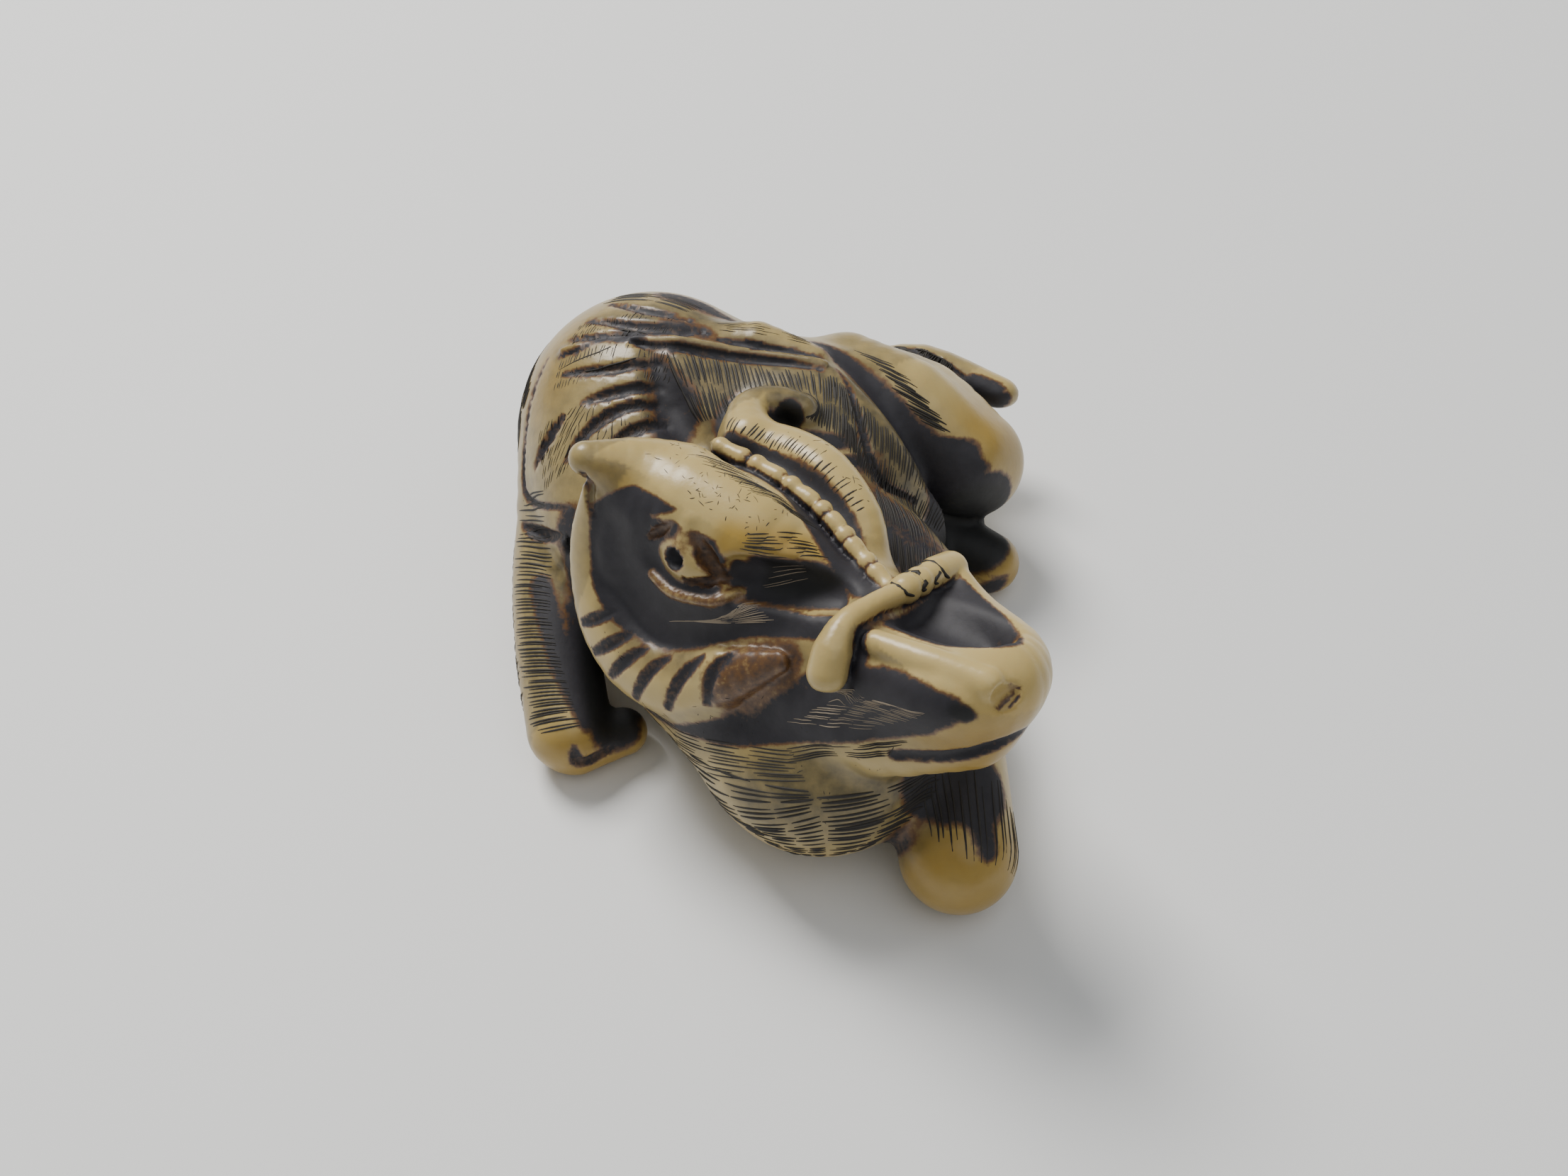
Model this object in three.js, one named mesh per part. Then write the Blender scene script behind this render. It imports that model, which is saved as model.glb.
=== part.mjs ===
// A netsuke: a haltered ox at rest, carved from one piece of stag antler or ivory.
// Millimetres, +Z up. It rests on its folded legs and belly, with the brisket toward -Y
// and the muzzle turned toward +X. The whole carving is one closed solid.
import * as THREE from 'three';

// ---------------------------------------------------------------- driving dimensions
const CELL = 0.62; // size of the cells in which the surface is first found
const FACETS = 9400; // facets left on the finished solid
const REST_PLANE = 0; // height of the worn, flattened underside

const BODY_LENGTH = 24; // shoulder hump to rump, along the curled back
const BACK_RADIUS = 11.3;
const FLANK_RADIUS = 11;
const RUMP_RADIUS = 9;
const HAUNCH_RADIUS = 5.4;
const STIFLE_RADIUS = 4.7;
const HIND_HOOF_RADIUS = 2.6;
const BRISKET_RADIUS = 8.2;
const NEAR_FORELEG_RADIUS = 3.3;
const FAR_FORELEG_RADIUS = 4.3;
const TAIL_RADIUS = 2.4;

const HEAD_LENGTH = 30; // poll to muzzle
const CHEEK_RADIUS = 8.2;
const BROW_RADIUS = 3.6;
const MUZZLE_RADIUS = 3.0;
const JAW_RADIUS = 4.6;
const EAR_TIP_RADIUS = 1.2;
const HORN_RADIUS = 1.1;
const JOWL_RIM_RADIUS = 2.6;
const HALTER_RADIUS = 0.85;
const NOSTRIL_BAR_RADIUS = 1.05;

// ---------------------------------------------------------------- directions
// The head has its own axes: forward along the nose, out to the near cheek, and up
// through the brow. It is turned to the right and rolled a little, near side uppermost.
const HEAD_ROOT = new THREE.Vector3(-5.3, 3.6, 23.0);
const HEAD_FORWARD = new THREE.Vector3(0.695, -0.717, -0.053).normalize();
const HEAD_NEAR = new THREE.Vector3(-0.65, -0.68, 0.343);
HEAD_NEAR.addScaledVector(HEAD_FORWARD, -HEAD_NEAR.dot(HEAD_FORWARD)).normalize();
const HEAD_UP = new THREE.Vector3().crossVectors(HEAD_FORWARD, HEAD_NEAR).negate().normalize();
const BODY_AXES = [
  new THREE.Vector3(1, 0, 0),
  new THREE.Vector3(0, 1, 0),
  new THREE.Vector3(0, 0, 1),
];
const HEAD_AXES = [HEAD_FORWARD, HEAD_NEAR, HEAD_UP];

// A point of the body: right, away, up.
function body(x, y, z) {
  return new THREE.Vector3(x, y, z);
}

// A point of the head: forward, near, up, from the poll between the ears.
function head(forward, near, up) {
  const p = HEAD_ROOT.clone();
  p.addScaledVector(HEAD_FORWARD, forward);
  p.addScaledVector(HEAD_NEAR, near);
  p.addScaledVector(HEAD_UP, up);
  return p;
}

// ---------------------------------------------------------------- masses
// A rounded mass: an ellipsoid with a radius along each of three axes.
function mass(centre, radii, axes = BODY_AXES) {
  return function distance(x, y, z) {
    const dx = x - centre.x;
    const dy = y - centre.y;
    const dz = z - centre.z;
    let near = 0;
    let far = 0;
    for (let i = 0; i < 3; i += 1) {
      const along = dx * axes[i].x + dy * axes[i].y + dz * axes[i].z;
      const share = along / radii[i];
      near += share * share;
      far += (share / radii[i]) * (share / radii[i]);
    }
    near = Math.sqrt(near);
    return (near * (near - 1)) / (Math.sqrt(far) + 1e-9);
  };
}

// A limb: a round section swept along a smooth line, its radius running from point to
// point. With a squash axis the section is an oval, thinner along that axis.
function limb(points, radii, squashAxis = null, squash = 1, steps = 4) {
  const line = new THREE.CatmullRomCurve3(points, false, 'catmullrom', 0.5);
  const spans = points.length - 1;
  const count = spans === 1 ? 1 : spans * steps;
  const stations = [];
  for (let i = 0; i <= count; i += 1) {
    const t = i / count;
    const p = line.getPoint(t);
    const span = Math.min(Math.floor(t * spans), spans - 1);
    const share = t * spans - span;
    const radius = radii[span] * (1 - share) + radii[span + 1] * share;
    if (squashAxis) {
      p.addScaledVector(squashAxis, p.dot(squashAxis) * (1 / squash - 1));
    }
    stations.push([p.x, p.y, p.z, radius]);
  }
  const shrink = squashAxis ? squash + (1 - squash) * 0.35 : 1;
  return function distance(x, y, z) {
    if (squashAxis) {
      const along = (x * squashAxis.x + y * squashAxis.y + z * squashAxis.z) * (1 / squash - 1);
      x += along * squashAxis.x;
      y += along * squashAxis.y;
      z += along * squashAxis.z;
    }
    let best = Infinity;
    for (let i = 0; i < count; i += 1) {
      const a = stations[i];
      const b = stations[i + 1];
      const abx = b[0] - a[0];
      const aby = b[1] - a[1];
      const abz = b[2] - a[2];
      const px = x - a[0];
      const py = y - a[1];
      const pz = z - a[2];
      let t = (px * abx + py * aby + pz * abz) / (abx * abx + aby * aby + abz * abz + 1e-9);
      t = Math.min(Math.max(t, 0), 1);
      const gap = Math.hypot(px - t * abx, py - t * aby, pz - t * abz);
      best = Math.min(best, gap - (a[3] * (1 - t) + b[3] * t));
    }
    return best * shrink;
  };
}

// Two forms run together with a fillet of about the blend size.
function blended(first, second, blend) {
  const h = Math.min(Math.max(0.5 + (0.5 * (second - first)) / blend, 0), 1);
  return second * (1 - h) + first * h - blend * h * (1 - h);
}

// A carving is built up by joining masses and cutting hollows, in order.
class Carving {
  constructor() {
    this.steps = [];
  }

  join(shape, blend) {
    this.steps.push({ shape, blend, cut: false });
  }

  cut(shape, blend) {
    this.steps.push({ shape, blend, cut: true });
  }

  distance(x, y, z) {
    let d = 1000;
    for (const step of this.steps) {
      const e = step.shape(x, y, z);
      d = step.cut ? -blended(-d, e, step.blend) : blended(d, e, step.blend);
    }
    return d;
  }
}

// Moves a point along the steepest slope until it lies on a surface. Returns the slope.
function settle(p, distance) {
  const step = 0.04;
  const slope = [0, 0, 0];
  for (let pass = 0; pass < 4; pass += 1) {
    const d = distance(p[0], p[1], p[2]);
    slope[0] = (distance(p[0] + step, p[1], p[2]) - distance(p[0] - step, p[1], p[2])) / (2 * step);
    slope[1] = (distance(p[0], p[1] + step, p[2]) - distance(p[0], p[1] - step, p[2])) / (2 * step);
    slope[2] = (distance(p[0], p[1], p[2] + step) - distance(p[0], p[1], p[2] - step)) / (2 * step);
    const square = slope[0] ** 2 + slope[1] ** 2 + slope[2] ** 2;
    const move = Math.max(-0.5, Math.min(0.5, d / Math.max(square, 0.25)));
    p.forEach((value, n) => {
      p[n] = value - move * slope[n];
    });
  }
  return slope;
}

// A smooth line laid on a carving through its guide points, lifted a little off it.
function laid(carving, guides, lift) {
  const line = new THREE.CatmullRomCurve3(guides, false, 'catmullrom', 0.5);
  return line.getSpacedPoints(5 * (guides.length - 1)).map((guide) => {
    const p = guide.toArray();
    settle(p, (x, y, z) => carving.distance(x, y, z));
    const out = new THREE.Vector3(...settle(p, (x, y, z) => carving.distance(x, y, z))).normalize();
    return new THREE.Vector3(...p).addScaledVector(out, lift);
  });
}

// Radii that swell from a point at each end to the full size a little past the middle.
function taper(count, radius) {
  return Array.from({ length: count }, (v, n) => {
    const t = n / (count - 1);
    return radius * (0.2 + 0.8 * Math.sin(Math.PI * Math.min(t ** 1.2, 0.92)) ** 0.6);
  });
}

// ---------------------------------------------------------------- body
const ox = new Carving();

// The curled trunk: shoulder hump, flank, rump, and the chest that carries the neck.
ox.join(mass(body(-10.8, 17.8, 11.2), [BACK_RADIUS, 12, BACK_RADIUS]), 1);
ox.join(mass(body(0.9, 14.2, 9.9), [11.9, 11.5, FLANK_RADIUS]), 4);
ox.join(mass(body(8.6, 17, 7), [RUMP_RADIUS, 9.5, 8.5]), 3);
ox.join(limb([body(-11, 8, 10), body(-6, 0, 9), body(2, -8.5, 9)], [7.8, 7.7, 7]), 6);

// The valley between flank and haunch, and the deep pocket at its foot.
const valley = [body(3.2, 18.6, 21.6), body(7, 15.6, 20), body(10.4, 13.1, 17.2), body(13, 11.8, 13.5)];
ox.cut(limb(valley, [0.9, 1.5, 1.9, 2.4]), 1.5);
ox.cut(limb([body(13.5, 12.2, 11), body(15.5, 11, 7), body(17, 9, 3.5)], [2.6, 2.6, 2.6]), 1);

// The haunch: its outer side, its thigh, the stifle worn round, and the hoof under it.
const haunchLine = [body(5.5, 24, 9.8), body(11, 20, 10.3), body(15.6, 16.6, 8.8)];
ox.join(limb(haunchLine, [5, HAUNCH_RADIUS, STIFLE_RADIUS]), 0.8);
const thighLine = [body(5.2, 20.8, 14.8), body(9.8, 17.4, 14), body(14.2, 15, 10.8)];
ox.join(limb(thighLine, [3.6, 4.4, 4.3]), 1.2);
ox.join(limb([body(12, 14, 3.2), body(17.5, 10.8, 2.5)], [3, HIND_HOOF_RADIUS]), 1);

// The flattened end of the tail, lying along the back of the haunch.
const TAIL_FACE = new THREE.Vector3(0.2, 0.5, 0.8).normalize();
const tailLine = [body(7, 28.6, 9), body(12.5, 28, 9.8), body(18.8, 25.2, 9)];
ox.join(limb(tailLine, [1.8, TAIL_RADIUS, 2], TAIL_FACE, 0.7), 0.5);

// The lens-shaped swelling on the ridge of the back.
const RIDGE_FACE = new THREE.Vector3(0, 0.3, 1).normalize();
const ridgeLine = [body(-6.6, 19.3, 20.6), body(-2.2, 19.2, 20.2), body(2.4, 17.3, 19.9)];
ox.join(limb(ridgeLine, [0.8, 1.8, 1], RIDGE_FACE, 0.7), 0.8);

// The near foreleg: forearm down the side, knee on the ground, hoof turned inward.
const nearForeleg = [body(-16.5, 16, 11.5), body(-18.2, 9, 8.5), body(-18.1, 1, 6), body(-16.6, -6.8, 3.1)];
ox.join(limb(nearForeleg, [5, 3.6, NEAR_FORELEG_RADIUS, NEAR_FORELEG_RADIUS]), 1.2);
ox.join(limb([body(-16, -7.4, 2.4), body(-12.6, -6.2, 1.9)], [2.6, 1.9]), 0.6);

// The pocket behind the crest of the head.
ox.cut(limb([body(-10, 15, 22.6), body(-8.6, 10.8, 21), body(-6.8, 8.4, 19.8)], [0.8, 1.7, 1.6]), 1);

// The far foreleg, from the shoulder forward under the muzzle, with its knee foremost.
const farForeleg = [
  body(3.6, 6.3, 13),
  body(7.5, 4, 10.7),
  body(11.3, -0.5, 8.4),
  body(12, -9, 6.8),
  body(12.5, -18.3, 4.1),
];
ox.join(limb(farForeleg, [4.4, 4.5, 4.2, 4.1, FAR_FORELEG_RADIUS]), 0.9);

// The brisket, keeled and hanging between the forelegs, and the neck above it.
ox.join(mass(body(2.8, -11.6, 8.4), [8.6, BRISKET_RADIUS, 7.7]), 2);
ox.join(limb([head(2, 3, -12), body(-3, -7.3, 9.7), body(2.5, -12, 8.9)], [5.5, 6.3, 6]), 3);

// The skin folds of the hump and shoulder, fanning out from the pocket and the ridge.
// Each is a tapered groove laid on the surface through a few guide points.
const folds = [
  { width: 0.9, guides: [body(-14, 22, 21), body(-11, 20, 22), body(-7.4, 19.4, 22)] },
  { width: 1.3, guides: [body(-17, 18.4, 20.6), body(-13, 17, 22), body(-9, 17.4, 22), body(-6.5, 18, 21.7)] },
  { width: 1.1, guides: [body(-17.7, 17, 20), body(-9, 16, 22), body(-2, 15.8, 21), body(2.8, 14.9, 21)] },
  { width: 0.9, guides: [body(-17.3, 15, 20), body(-13.4, 13.9, 21.6), body(-9.7, 14.6, 21.5)] },
  { width: 1.2, guides: [body(-15.5, 11.8, 20), body(-12.8, 11.9, 21), body(-9.5, 12.9, 20.5)] },
  { width: 1.2, guides: [body(-16.8, 8, 17.5), body(-15, 9.4, 19.2), body(-13, 10.3, 20.4), body(-9.5, 11.6, 20)] },
  { width: 1.1, guides: [body(-13.6, 7.4, 19), body(-11.6, 8.7, 19.9), body(-8.8, 10.1, 19.3)] },
  { width: 0.9, guides: [body(-19.6, 9.8, 14.9), body(-18.5, 10.5, 17.1), body(-17.1, 11.4, 18.9)] },
  { width: 1.3, guides: [body(-21, 7.8, 10.6), body(-19.2, 5.9, 11.6), body(-17, 4, 13.4)] },
];
for (const fold of folds) {
  const line = laid(ox, fold.guides, 0.05);
  ox.cut(limb(line, taper(line.length, fold.width / 2), null, 1, 1), 0.25);
}

// ---------------------------------------------------------------- head
const skull = new Carving();

// Cheeks, the ear's root, the long nose and the jaw below it.
skull.join(mass(head(6.5, 0.2, -7), [10.5, CHEEK_RADIUS, 7.8], HEAD_AXES), 1);
skull.join(mass(head(0.8, 5.6, -5), [3.2, 3.6, 5.5], HEAD_AXES), 1.5);
skull.join(limb([head(8, 0, -5), head(18, 0, -5), head(25.5, 0, -2.8)], [5.8, 5.6, 4.2]), 3);
const jawLine = [head(6, 1.5, -10.5), head(15, 2, -8.8), head(22, 2, -6.6), head(27, 0.8, -3.4)];
skull.join(limb(jawLine, [5, JAW_RADIUS, 4, 2.8]), 1.5);

// The upper lip and nose pad, bent round the front in a horseshoe.
const lipLine = [
  head(21.5, 3.6, -2.2),
  head(25.8, 3.4, -0.4),
  head(27.4, 0.6, 0.5),
  head(26.2, -2.4, 0.2),
  head(21, -4.2, -0.9),
];
skull.join(limb(lipLine, [2.8, 2.9, MUZZLE_RADIUS, 2.5, 2]), 2.2);

// The two brows, with the groove for the halter rope between them.
const nearBrow = [head(-0.8, 5.5, -2.2), head(3.5, 4.6, -1.2), head(8, 3.6, -0.9), head(12.6, 2.2, -1.6)];
skull.join(limb(nearBrow, [3.2, 3.8, BROW_RADIUS, 2.2]), 1.2);
const farBrow = [
  head(-0.5, -4.4, -0.9),
  head(3.5, -4.6, 0.5),
  head(7, -4.4, 1.1),
  head(11, -3.9, 0.2),
  head(14, -3, -1.8),
];
skull.join(limb(farBrow, [2, 2.2, 2.2, 2, 1.6]), 1);
const browGroove = [
  head(-1.5, -0.4, 1.4),
  head(2, -0.7, 1.9),
  head(6, -0.9, 2.2),
  head(10, -0.9, 2.2),
  head(13.5, -0.5, 1.9),
];
skull.cut(limb(browGroove, [0.9, 1.2, 1.4, 1.5, 1.6]), 0.6);

// The hollow top of the nose and its far rim, the hollow under the near brow, and the
// hollow of the cheek that runs round from the ear to the nose.
skull.cut(limb([head(20.2, 0.3, 2.2), head(24.5, -0.2, 2.6)], [2.8, 2.3]), 0.8);
skull.join(limb([head(18.4, -5.9, 0.3), head(22.5, -4.4, 0.3), head(26.4, -2.6, 1.2)], [1.1, 1.1, 1.2]), 0.8);
skull.cut(limb([head(10.6, 6.6, -1.8), head(13.4, 4.8, -0.9), head(15.6, 3.4, 0)], [1.7, 1.7, 1.4]), 0.7);
const cheekHollow = [
  head(1, 10.6, -3.8),
  head(3.2, 10.4, -7),
  head(7, 10.2, -7.8),
  head(11, 9.2, -5.6),
  head(14.5, 6.6, -2.6),
];
skull.cut(limb(cheekHollow, [1.9, 2.3, 2.5, 2.2, 1.4]), 0.9);

// The near ear, drawn out to a blunt tip, and the far horn curling back on itself.
const nearEar = [head(1.2, 3.5, -1), head(-1.2, 6.6, -0.6), head(-2.9, 9.3, 0)];
skull.join(limb(nearEar, [2.8, 2.2, EAR_TIP_RADIUS]), 1);
const farHorn = [head(0.3, -3.6, 0.2), head(-2.4, -6.4, 0.4), head(-1.8, -8.6, 1.1), head(-0.2, -9.7, 1.2)];
skull.join(limb(farHorn, [2, 1.4, HORN_RADIUS, 1]), 0.8);

// The crescent rim of the jowl, from below the ear round to a point on the cheek, with
// slots cut across it.
const jowlRim = [
  head(-2, 8.8, -2.5),
  head(-1.6, 8.4, -7),
  head(0.7, 8.1, -10.8),
  head(4.4, 8, -12.8),
  head(8.6, 7.8, -11.9),
  head(12.2, 7.4, -8.6),
  head(15.4, 6.6, -5),
];
skull.join(limb(jowlRim, [0.9, 1.5, 2.2, JOWL_RIM_RADIUS, 2.6, 2.1, 0.8], HEAD_NEAR, 0.6), 0.35);
const slots = [
  [head(4, 9.3, -11.3), head(2.6, 9.3, -13.3)],
  [head(5.6, 9.3, -11.6), head(4.6, 9.3, -14)],
  [head(7.7, 9.1, -11), head(7, 9, -14)],
  [head(10.2, 8.9, -9.5), head(9.9, 8.7, -12.5)],
  [head(12.2, 8.4, -7), head(12.4, 8.1, -10.2)],
];
for (const slot of slots) {
  const line = laid(skull, slot, 0.1);
  skull.cut(limb(line, taper(line.length, 0.55), null, 1, 1), 0.2);
}

// The halter rope in the groove, down the middle of the face to the nose.
const faceRope = [
  head(-0.2, -0.4, 0.3),
  head(5, -0.9, 1.1),
  head(10, -0.9, 1.3),
  head(14, -0.4, 0.8),
  head(18.2, 0.2, 0.5),
];
skull.join(limb(faceRope, [0.6, 0.65, 0.65, 0.65, 0.6]), 0.25);

// The nose rope of the halter, bedded across the nose, its near end hanging down the
// cheek and its far end a short thick lug.
skull.join(limb([head(18.4, 4.6, -0.9), head(18.4, 0, -0.6), head(18.3, -5, -0.9)], [1.4, 1.2, 1.4]), 1);
const noseRope = [
  head(19.5, 7.4, -2.2),
  head(19, 6.9, -1),
  head(18.4, 5.6, 0.3),
  head(18.4, 3.4, 0.9),
  head(18.6, 1, 1),
  head(18.5, -2.5, 1.1),
  head(18.3, -3.4, 0.9),
  head(18.2, -6, 0.5),
];
skull.join(limb(noseRope, [1.35, 1.3, 0.95, HALTER_RADIUS, HALTER_RADIUS, 0.9, 1.2, 1.25]), 0.25);

// The bar over the near nostril, the round of the eye with its pupil, and the mouth.
const nostrilBar = [head(20.6, 5, 0.2), head(24, 4.5, 1.2), head(27.8, 3.4, 2)];
skull.join(limb(nostrilBar, [0.9, 1.1, NOSTRIL_BAR_RADIUS]), 0.3);
skull.join(mass(head(6.1, 6.6, -2.6), [2.5, 1.8, 2], HEAD_AXES), 0.4);
skull.cut(mass(head(6, 8.4, -2.6), [0.7, 0.9, 0.7], HEAD_AXES), 0.1);
const mouthLine = [
  head(25.2, 5.2, -5.9),
  head(27.4, 4.3, -4.6),
  head(28.8, 3.6, -3.3),
  head(29.8, 2.6, -2.2),
  head(30.8, 0.3, -1.5),
  head(30.2, -2.4, -2.2),
];
skull.cut(limb(mouthLine, [0.35, 0.55, 0.6, 0.6, 0.5, 0.35]), 0.3);

ox.join((x, y, z) => skull.distance(x, y, z), 1.5);

// The whole form, flattened where it rests.
function form(x, y, z) {
  return Math.max(ox.distance(x, y, z), REST_PLANE - z);
}

// ---------------------------------------------------------------- surface
// The surface is found cell by cell: one corner in each cell that it passes through, and
// one four-sided face round each cell edge that it crosses.
const LOW = [-25, -26, -2];
const COUNT = [Math.ceil(50 / CELL), Math.ceil(60 / CELL), Math.ceil(33 / CELL)];

function sampleForm() {
  const [nx, ny, nz] = COUNT;
  const values = new Float64Array(nx * ny * nz);
  let n = 0;
  for (let k = 0; k < nz; k += 1) {
    for (let j = 0; j < ny; j += 1) {
      for (let i = 0; i < nx; i += 1) {
        values[n] = form(LOW[0] + i * CELL, LOW[1] + j * CELL, LOW[2] + k * CELL);
        n += 1;
      }
    }
  }
  return values;
}

// Closes pinholes: where solid and air meet only at the corners of a cell's side, or only
// across the cell's body diagonal, the shallower of the two air corners becomes solid.
function closePinholes(values, stride) {
  const [nx, ny, nz] = COUNT;
  const fill = (a, b) => {
    values[values[a] < values[b] ? a : b] = -1e-3;
  };
  let changed = true;
  while (changed) {
    changed = false;
    for (let k = 0; k < nz - 1; k += 1) {
      for (let j = 0; j < ny - 1; j += 1) {
        for (let i = 0; i < nx - 1; i += 1) {
          const base = i + j * stride[1] + k * stride[2];
          for (let axis = 0; axis < 3; axis += 1) {
            const u = stride[(axis + 1) % 3];
            const v = stride[(axis + 2) % 3];
            const solid = [base, base + u, base + u + v, base + v].map((n) => values[n] < 0);
            if (solid[0] !== solid[2] || solid[1] !== solid[3] || solid[0] === solid[1]) {
              continue;
            }
            if (solid[0]) {
              fill(base + u, base + v);
            } else {
              fill(base, base + u + v);
            }
            changed = true;
          }
          const corners = [0, 1, 2, 3, 4, 5, 6, 7].map((n) => {
            return base + (n & 1) + ((n >> 1) & 1) * stride[1] + ((n >> 2) & 1) * stride[2];
          });
          const air = [0, 1, 2, 3, 4, 5, 6, 7].filter((n) => values[corners[n]] >= 0);
          if (air.length === 2 && air[0] + air[1] === 7) {
            fill(corners[air[0]], corners[air[1]]);
            changed = true;
          }
          if (air.length === 6) {
            const solid = [0, 1, 2, 3, 4, 5, 6, 7].filter((n) => values[corners[n]] < 0);
            if (solid[0] + solid[1] === 7) {
              fill(corners[air[0]], corners[air[1]]);
              changed = true;
            }
          }
        }
      }
    }
  }
}

function findSurface() {
  const values = sampleForm();
  const [nx, ny, nz] = COUNT;
  const stride = [1, nx, nx * ny];
  closePinholes(values, stride);
  const cornerOf = new Map();
  const points = [];
  const faces = [];
  for (let k = 0; k < nz - 1; k += 1) {
    for (let j = 0; j < ny - 1; j += 1) {
      for (let i = 0; i < nx - 1; i += 1) {
        const base = i + j * stride[1] + k * stride[2];
        const sum = [0, 0, 0];
        let crossings = 0;
        for (let a = 0; a < 8; a += 1) {
          for (let axis = 0; axis < 3; axis += 1) {
            if (a & (1 << axis)) {
              continue;
            }
            const b = a | (1 << axis);
            const from = base + (a & 1) + ((a >> 1) & 1) * stride[1] + ((a >> 2) & 1) * stride[2];
            const to = from + stride[axis];
            if ((values[from] < 0) === (values[to] < 0)) {
              continue;
            }
            const t = values[from] / (values[from] - values[to]);
            for (let c = 0; c < 3; c += 1) {
              const start = (a >> c) & 1;
              sum[c] += start + (((b >> c) & 1) - start) * t;
            }
            crossings += 1;
          }
        }
        if (crossings > 0) {
          const p = [i, j, k].map((cell, c) => LOW[c] + (cell + sum[c] / crossings) * CELL);
          cornerOf.set(base, points.length);
          points.push(p);
        }
      }
    }
  }
  for (const base of cornerOf.keys()) {
    const k = Math.floor(base / stride[2]);
    const j = Math.floor((base - k * stride[2]) / stride[1]);
    const i = base % nx;
    const place = [i, j, k];
    for (let axis = 0; axis < 3; axis += 1) {
      const u = (axis + 1) % 3;
      const v = (axis + 2) % 3;
      if (place[u] === 0 || place[v] === 0) {
        continue;
      }
      const inside = values[base] < 0;
      if (inside === (values[base + stride[axis]] < 0)) {
        continue;
      }
      const q = [base, base - stride[u], base - stride[u] - stride[v], base - stride[v]];
      const c = q.map((cell) => cornerOf.get(cell));
      if (inside) {
        faces.push([c[0], c[1], c[2]], [c[0], c[2], c[3]]);
      } else {
        faces.push([c[0], c[2], c[1]], [c[0], c[3], c[2]]);
      }
    }
  }
  points.forEach((p) => settle(p, form));
  return { points, faces };
}

// ---------------------------------------------------------------- facets
// Each corner keeps the planes that meet at it, as a sum of squared distances. The edges
// whose loss moves the surface least are drawn together first, so that broad, smooth
// parts get few facets and the head keeps many.
function planeSum(points, faces) {
  const sums = points.map(() => new Float64Array(10));
  for (const [a, b, c] of faces) {
    const p = new THREE.Vector3(...points[a]);
    const n = new THREE.Vector3(...points[b]).sub(p);
    n.cross(new THREE.Vector3(...points[c]).sub(p));
    const area = n.length() / 2;
    n.normalize();
    const w = -n.dot(p);
    const q = [n.x, n.y, n.z, w];
    for (const corner of [a, b, c]) {
      let m = 0;
      for (let r = 0; r < 4; r += 1) {
        for (let s = r; s < 4; s += 1) {
          sums[corner][m] += area * q[r] * q[s];
          m += 1;
        }
      }
    }
  }
  return sums;
}

function planeError(a, b, p) {
  const h = [p[0], p[1], p[2], 1];
  let total = 0;
  let m = 0;
  for (let r = 0; r < 4; r += 1) {
    for (let s = r; s < 4; s += 1) {
      total += (r === s ? 1 : 2) * (a[m] + b[m]) * h[r] * h[s];
      m += 1;
    }
  }
  return total;
}

function facetNormal(points, f) {
  const p = new THREE.Vector3(...points[f[0]]);
  const n = new THREE.Vector3(...points[f[1]]).sub(p);
  return n.cross(new THREE.Vector3(...points[f[2]]).sub(p));
}

function thinPass(points, faces, sums, target) {
  const facesAt = points.map(() => []);
  faces.forEach((f, n) => f.forEach((corner) => facesAt[corner].push(n)));
  const edges = [];
  for (const f of faces) {
    for (let s = 0; s < 3; s += 1) {
      const a = f[s];
      const b = f[(s + 1) % 3];
      if (a < b) {
        const middle = [0, 1, 2].map((c) => (points[a][c] + points[b][c]) / 2);
        const length = Math.hypot(...[0, 1, 2].map((c) => points[a][c] - points[b][c]));
        const cost = planeError(sums[a], sums[b], middle) + 2e-5 * length * length;
        edges.push({ a, b, middle, cost });
      }
    }
  }
  edges.sort((e, f) => e.cost - f.cost);
  const touched = new Uint8Array(points.length);
  const gone = new Uint8Array(faces.length);
  let left = faces.length;
  const limit = Math.ceil(edges.length * 0.3);
  for (let n = 0; n < limit && left > target; n += 1) {
    const { a, b, middle } = edges[n];
    const ring = new Set();
    const shared = [];
    for (const f of facesAt[a]) {
      faces[f].forEach((corner) => ring.add(corner));
      if (faces[f].includes(b)) {
        shared.push(f);
      }
    }
    const other = new Set();
    facesAt[b].forEach((f) => faces[f].forEach((corner) => other.add(corner)));
    const common = [...ring].filter((corner) => other.has(corner) && corner !== a && corner !== b);
    other.forEach((corner) => ring.add(corner));
    if (shared.length !== 2 || common.length !== 2 || [...ring].some((corner) => touched[corner])) {
      continue;
    }
    const kept = [...facesAt[a], ...facesAt[b]].filter((f) => !shared.includes(f));
    const before = kept.map((f) => facetNormal(points, faces[f]));
    const oldA = points[a];
    const oldB = points[b];
    points[a] = middle;
    points[b] = middle;
    const turned = kept.some((f, m) => {
      const after = facetNormal(points, faces[f]);
      return after.dot(before[m]) < 0.35 * after.length() * before[m].length() || after.length() < 1e-3;
    });
    if (turned) {
      points[a] = oldA;
      points[b] = oldB;
      continue;
    }
    for (const f of facesAt[b]) {
      faces[f] = faces[f].map((corner) => (corner === b ? a : corner));
    }
    shared.forEach((f) => {
      gone[f] = 1;
    });
    for (let m = 0; m < 10; m += 1) {
      sums[a][m] += sums[b][m];
    }
    ring.forEach((corner) => {
      touched[corner] = 1;
    });
    left -= 2;
  }
  return faces.filter((f, n) => !gone[n]);
}

function thin(points, faces, target) {
  const sums = planeSum(points, faces);
  let result = faces;
  for (let pass = 0; pass < 60 && result.length > target; pass += 1) {
    result = thinPass(points, result, sums, target);
  }
  return result;
}

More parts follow.
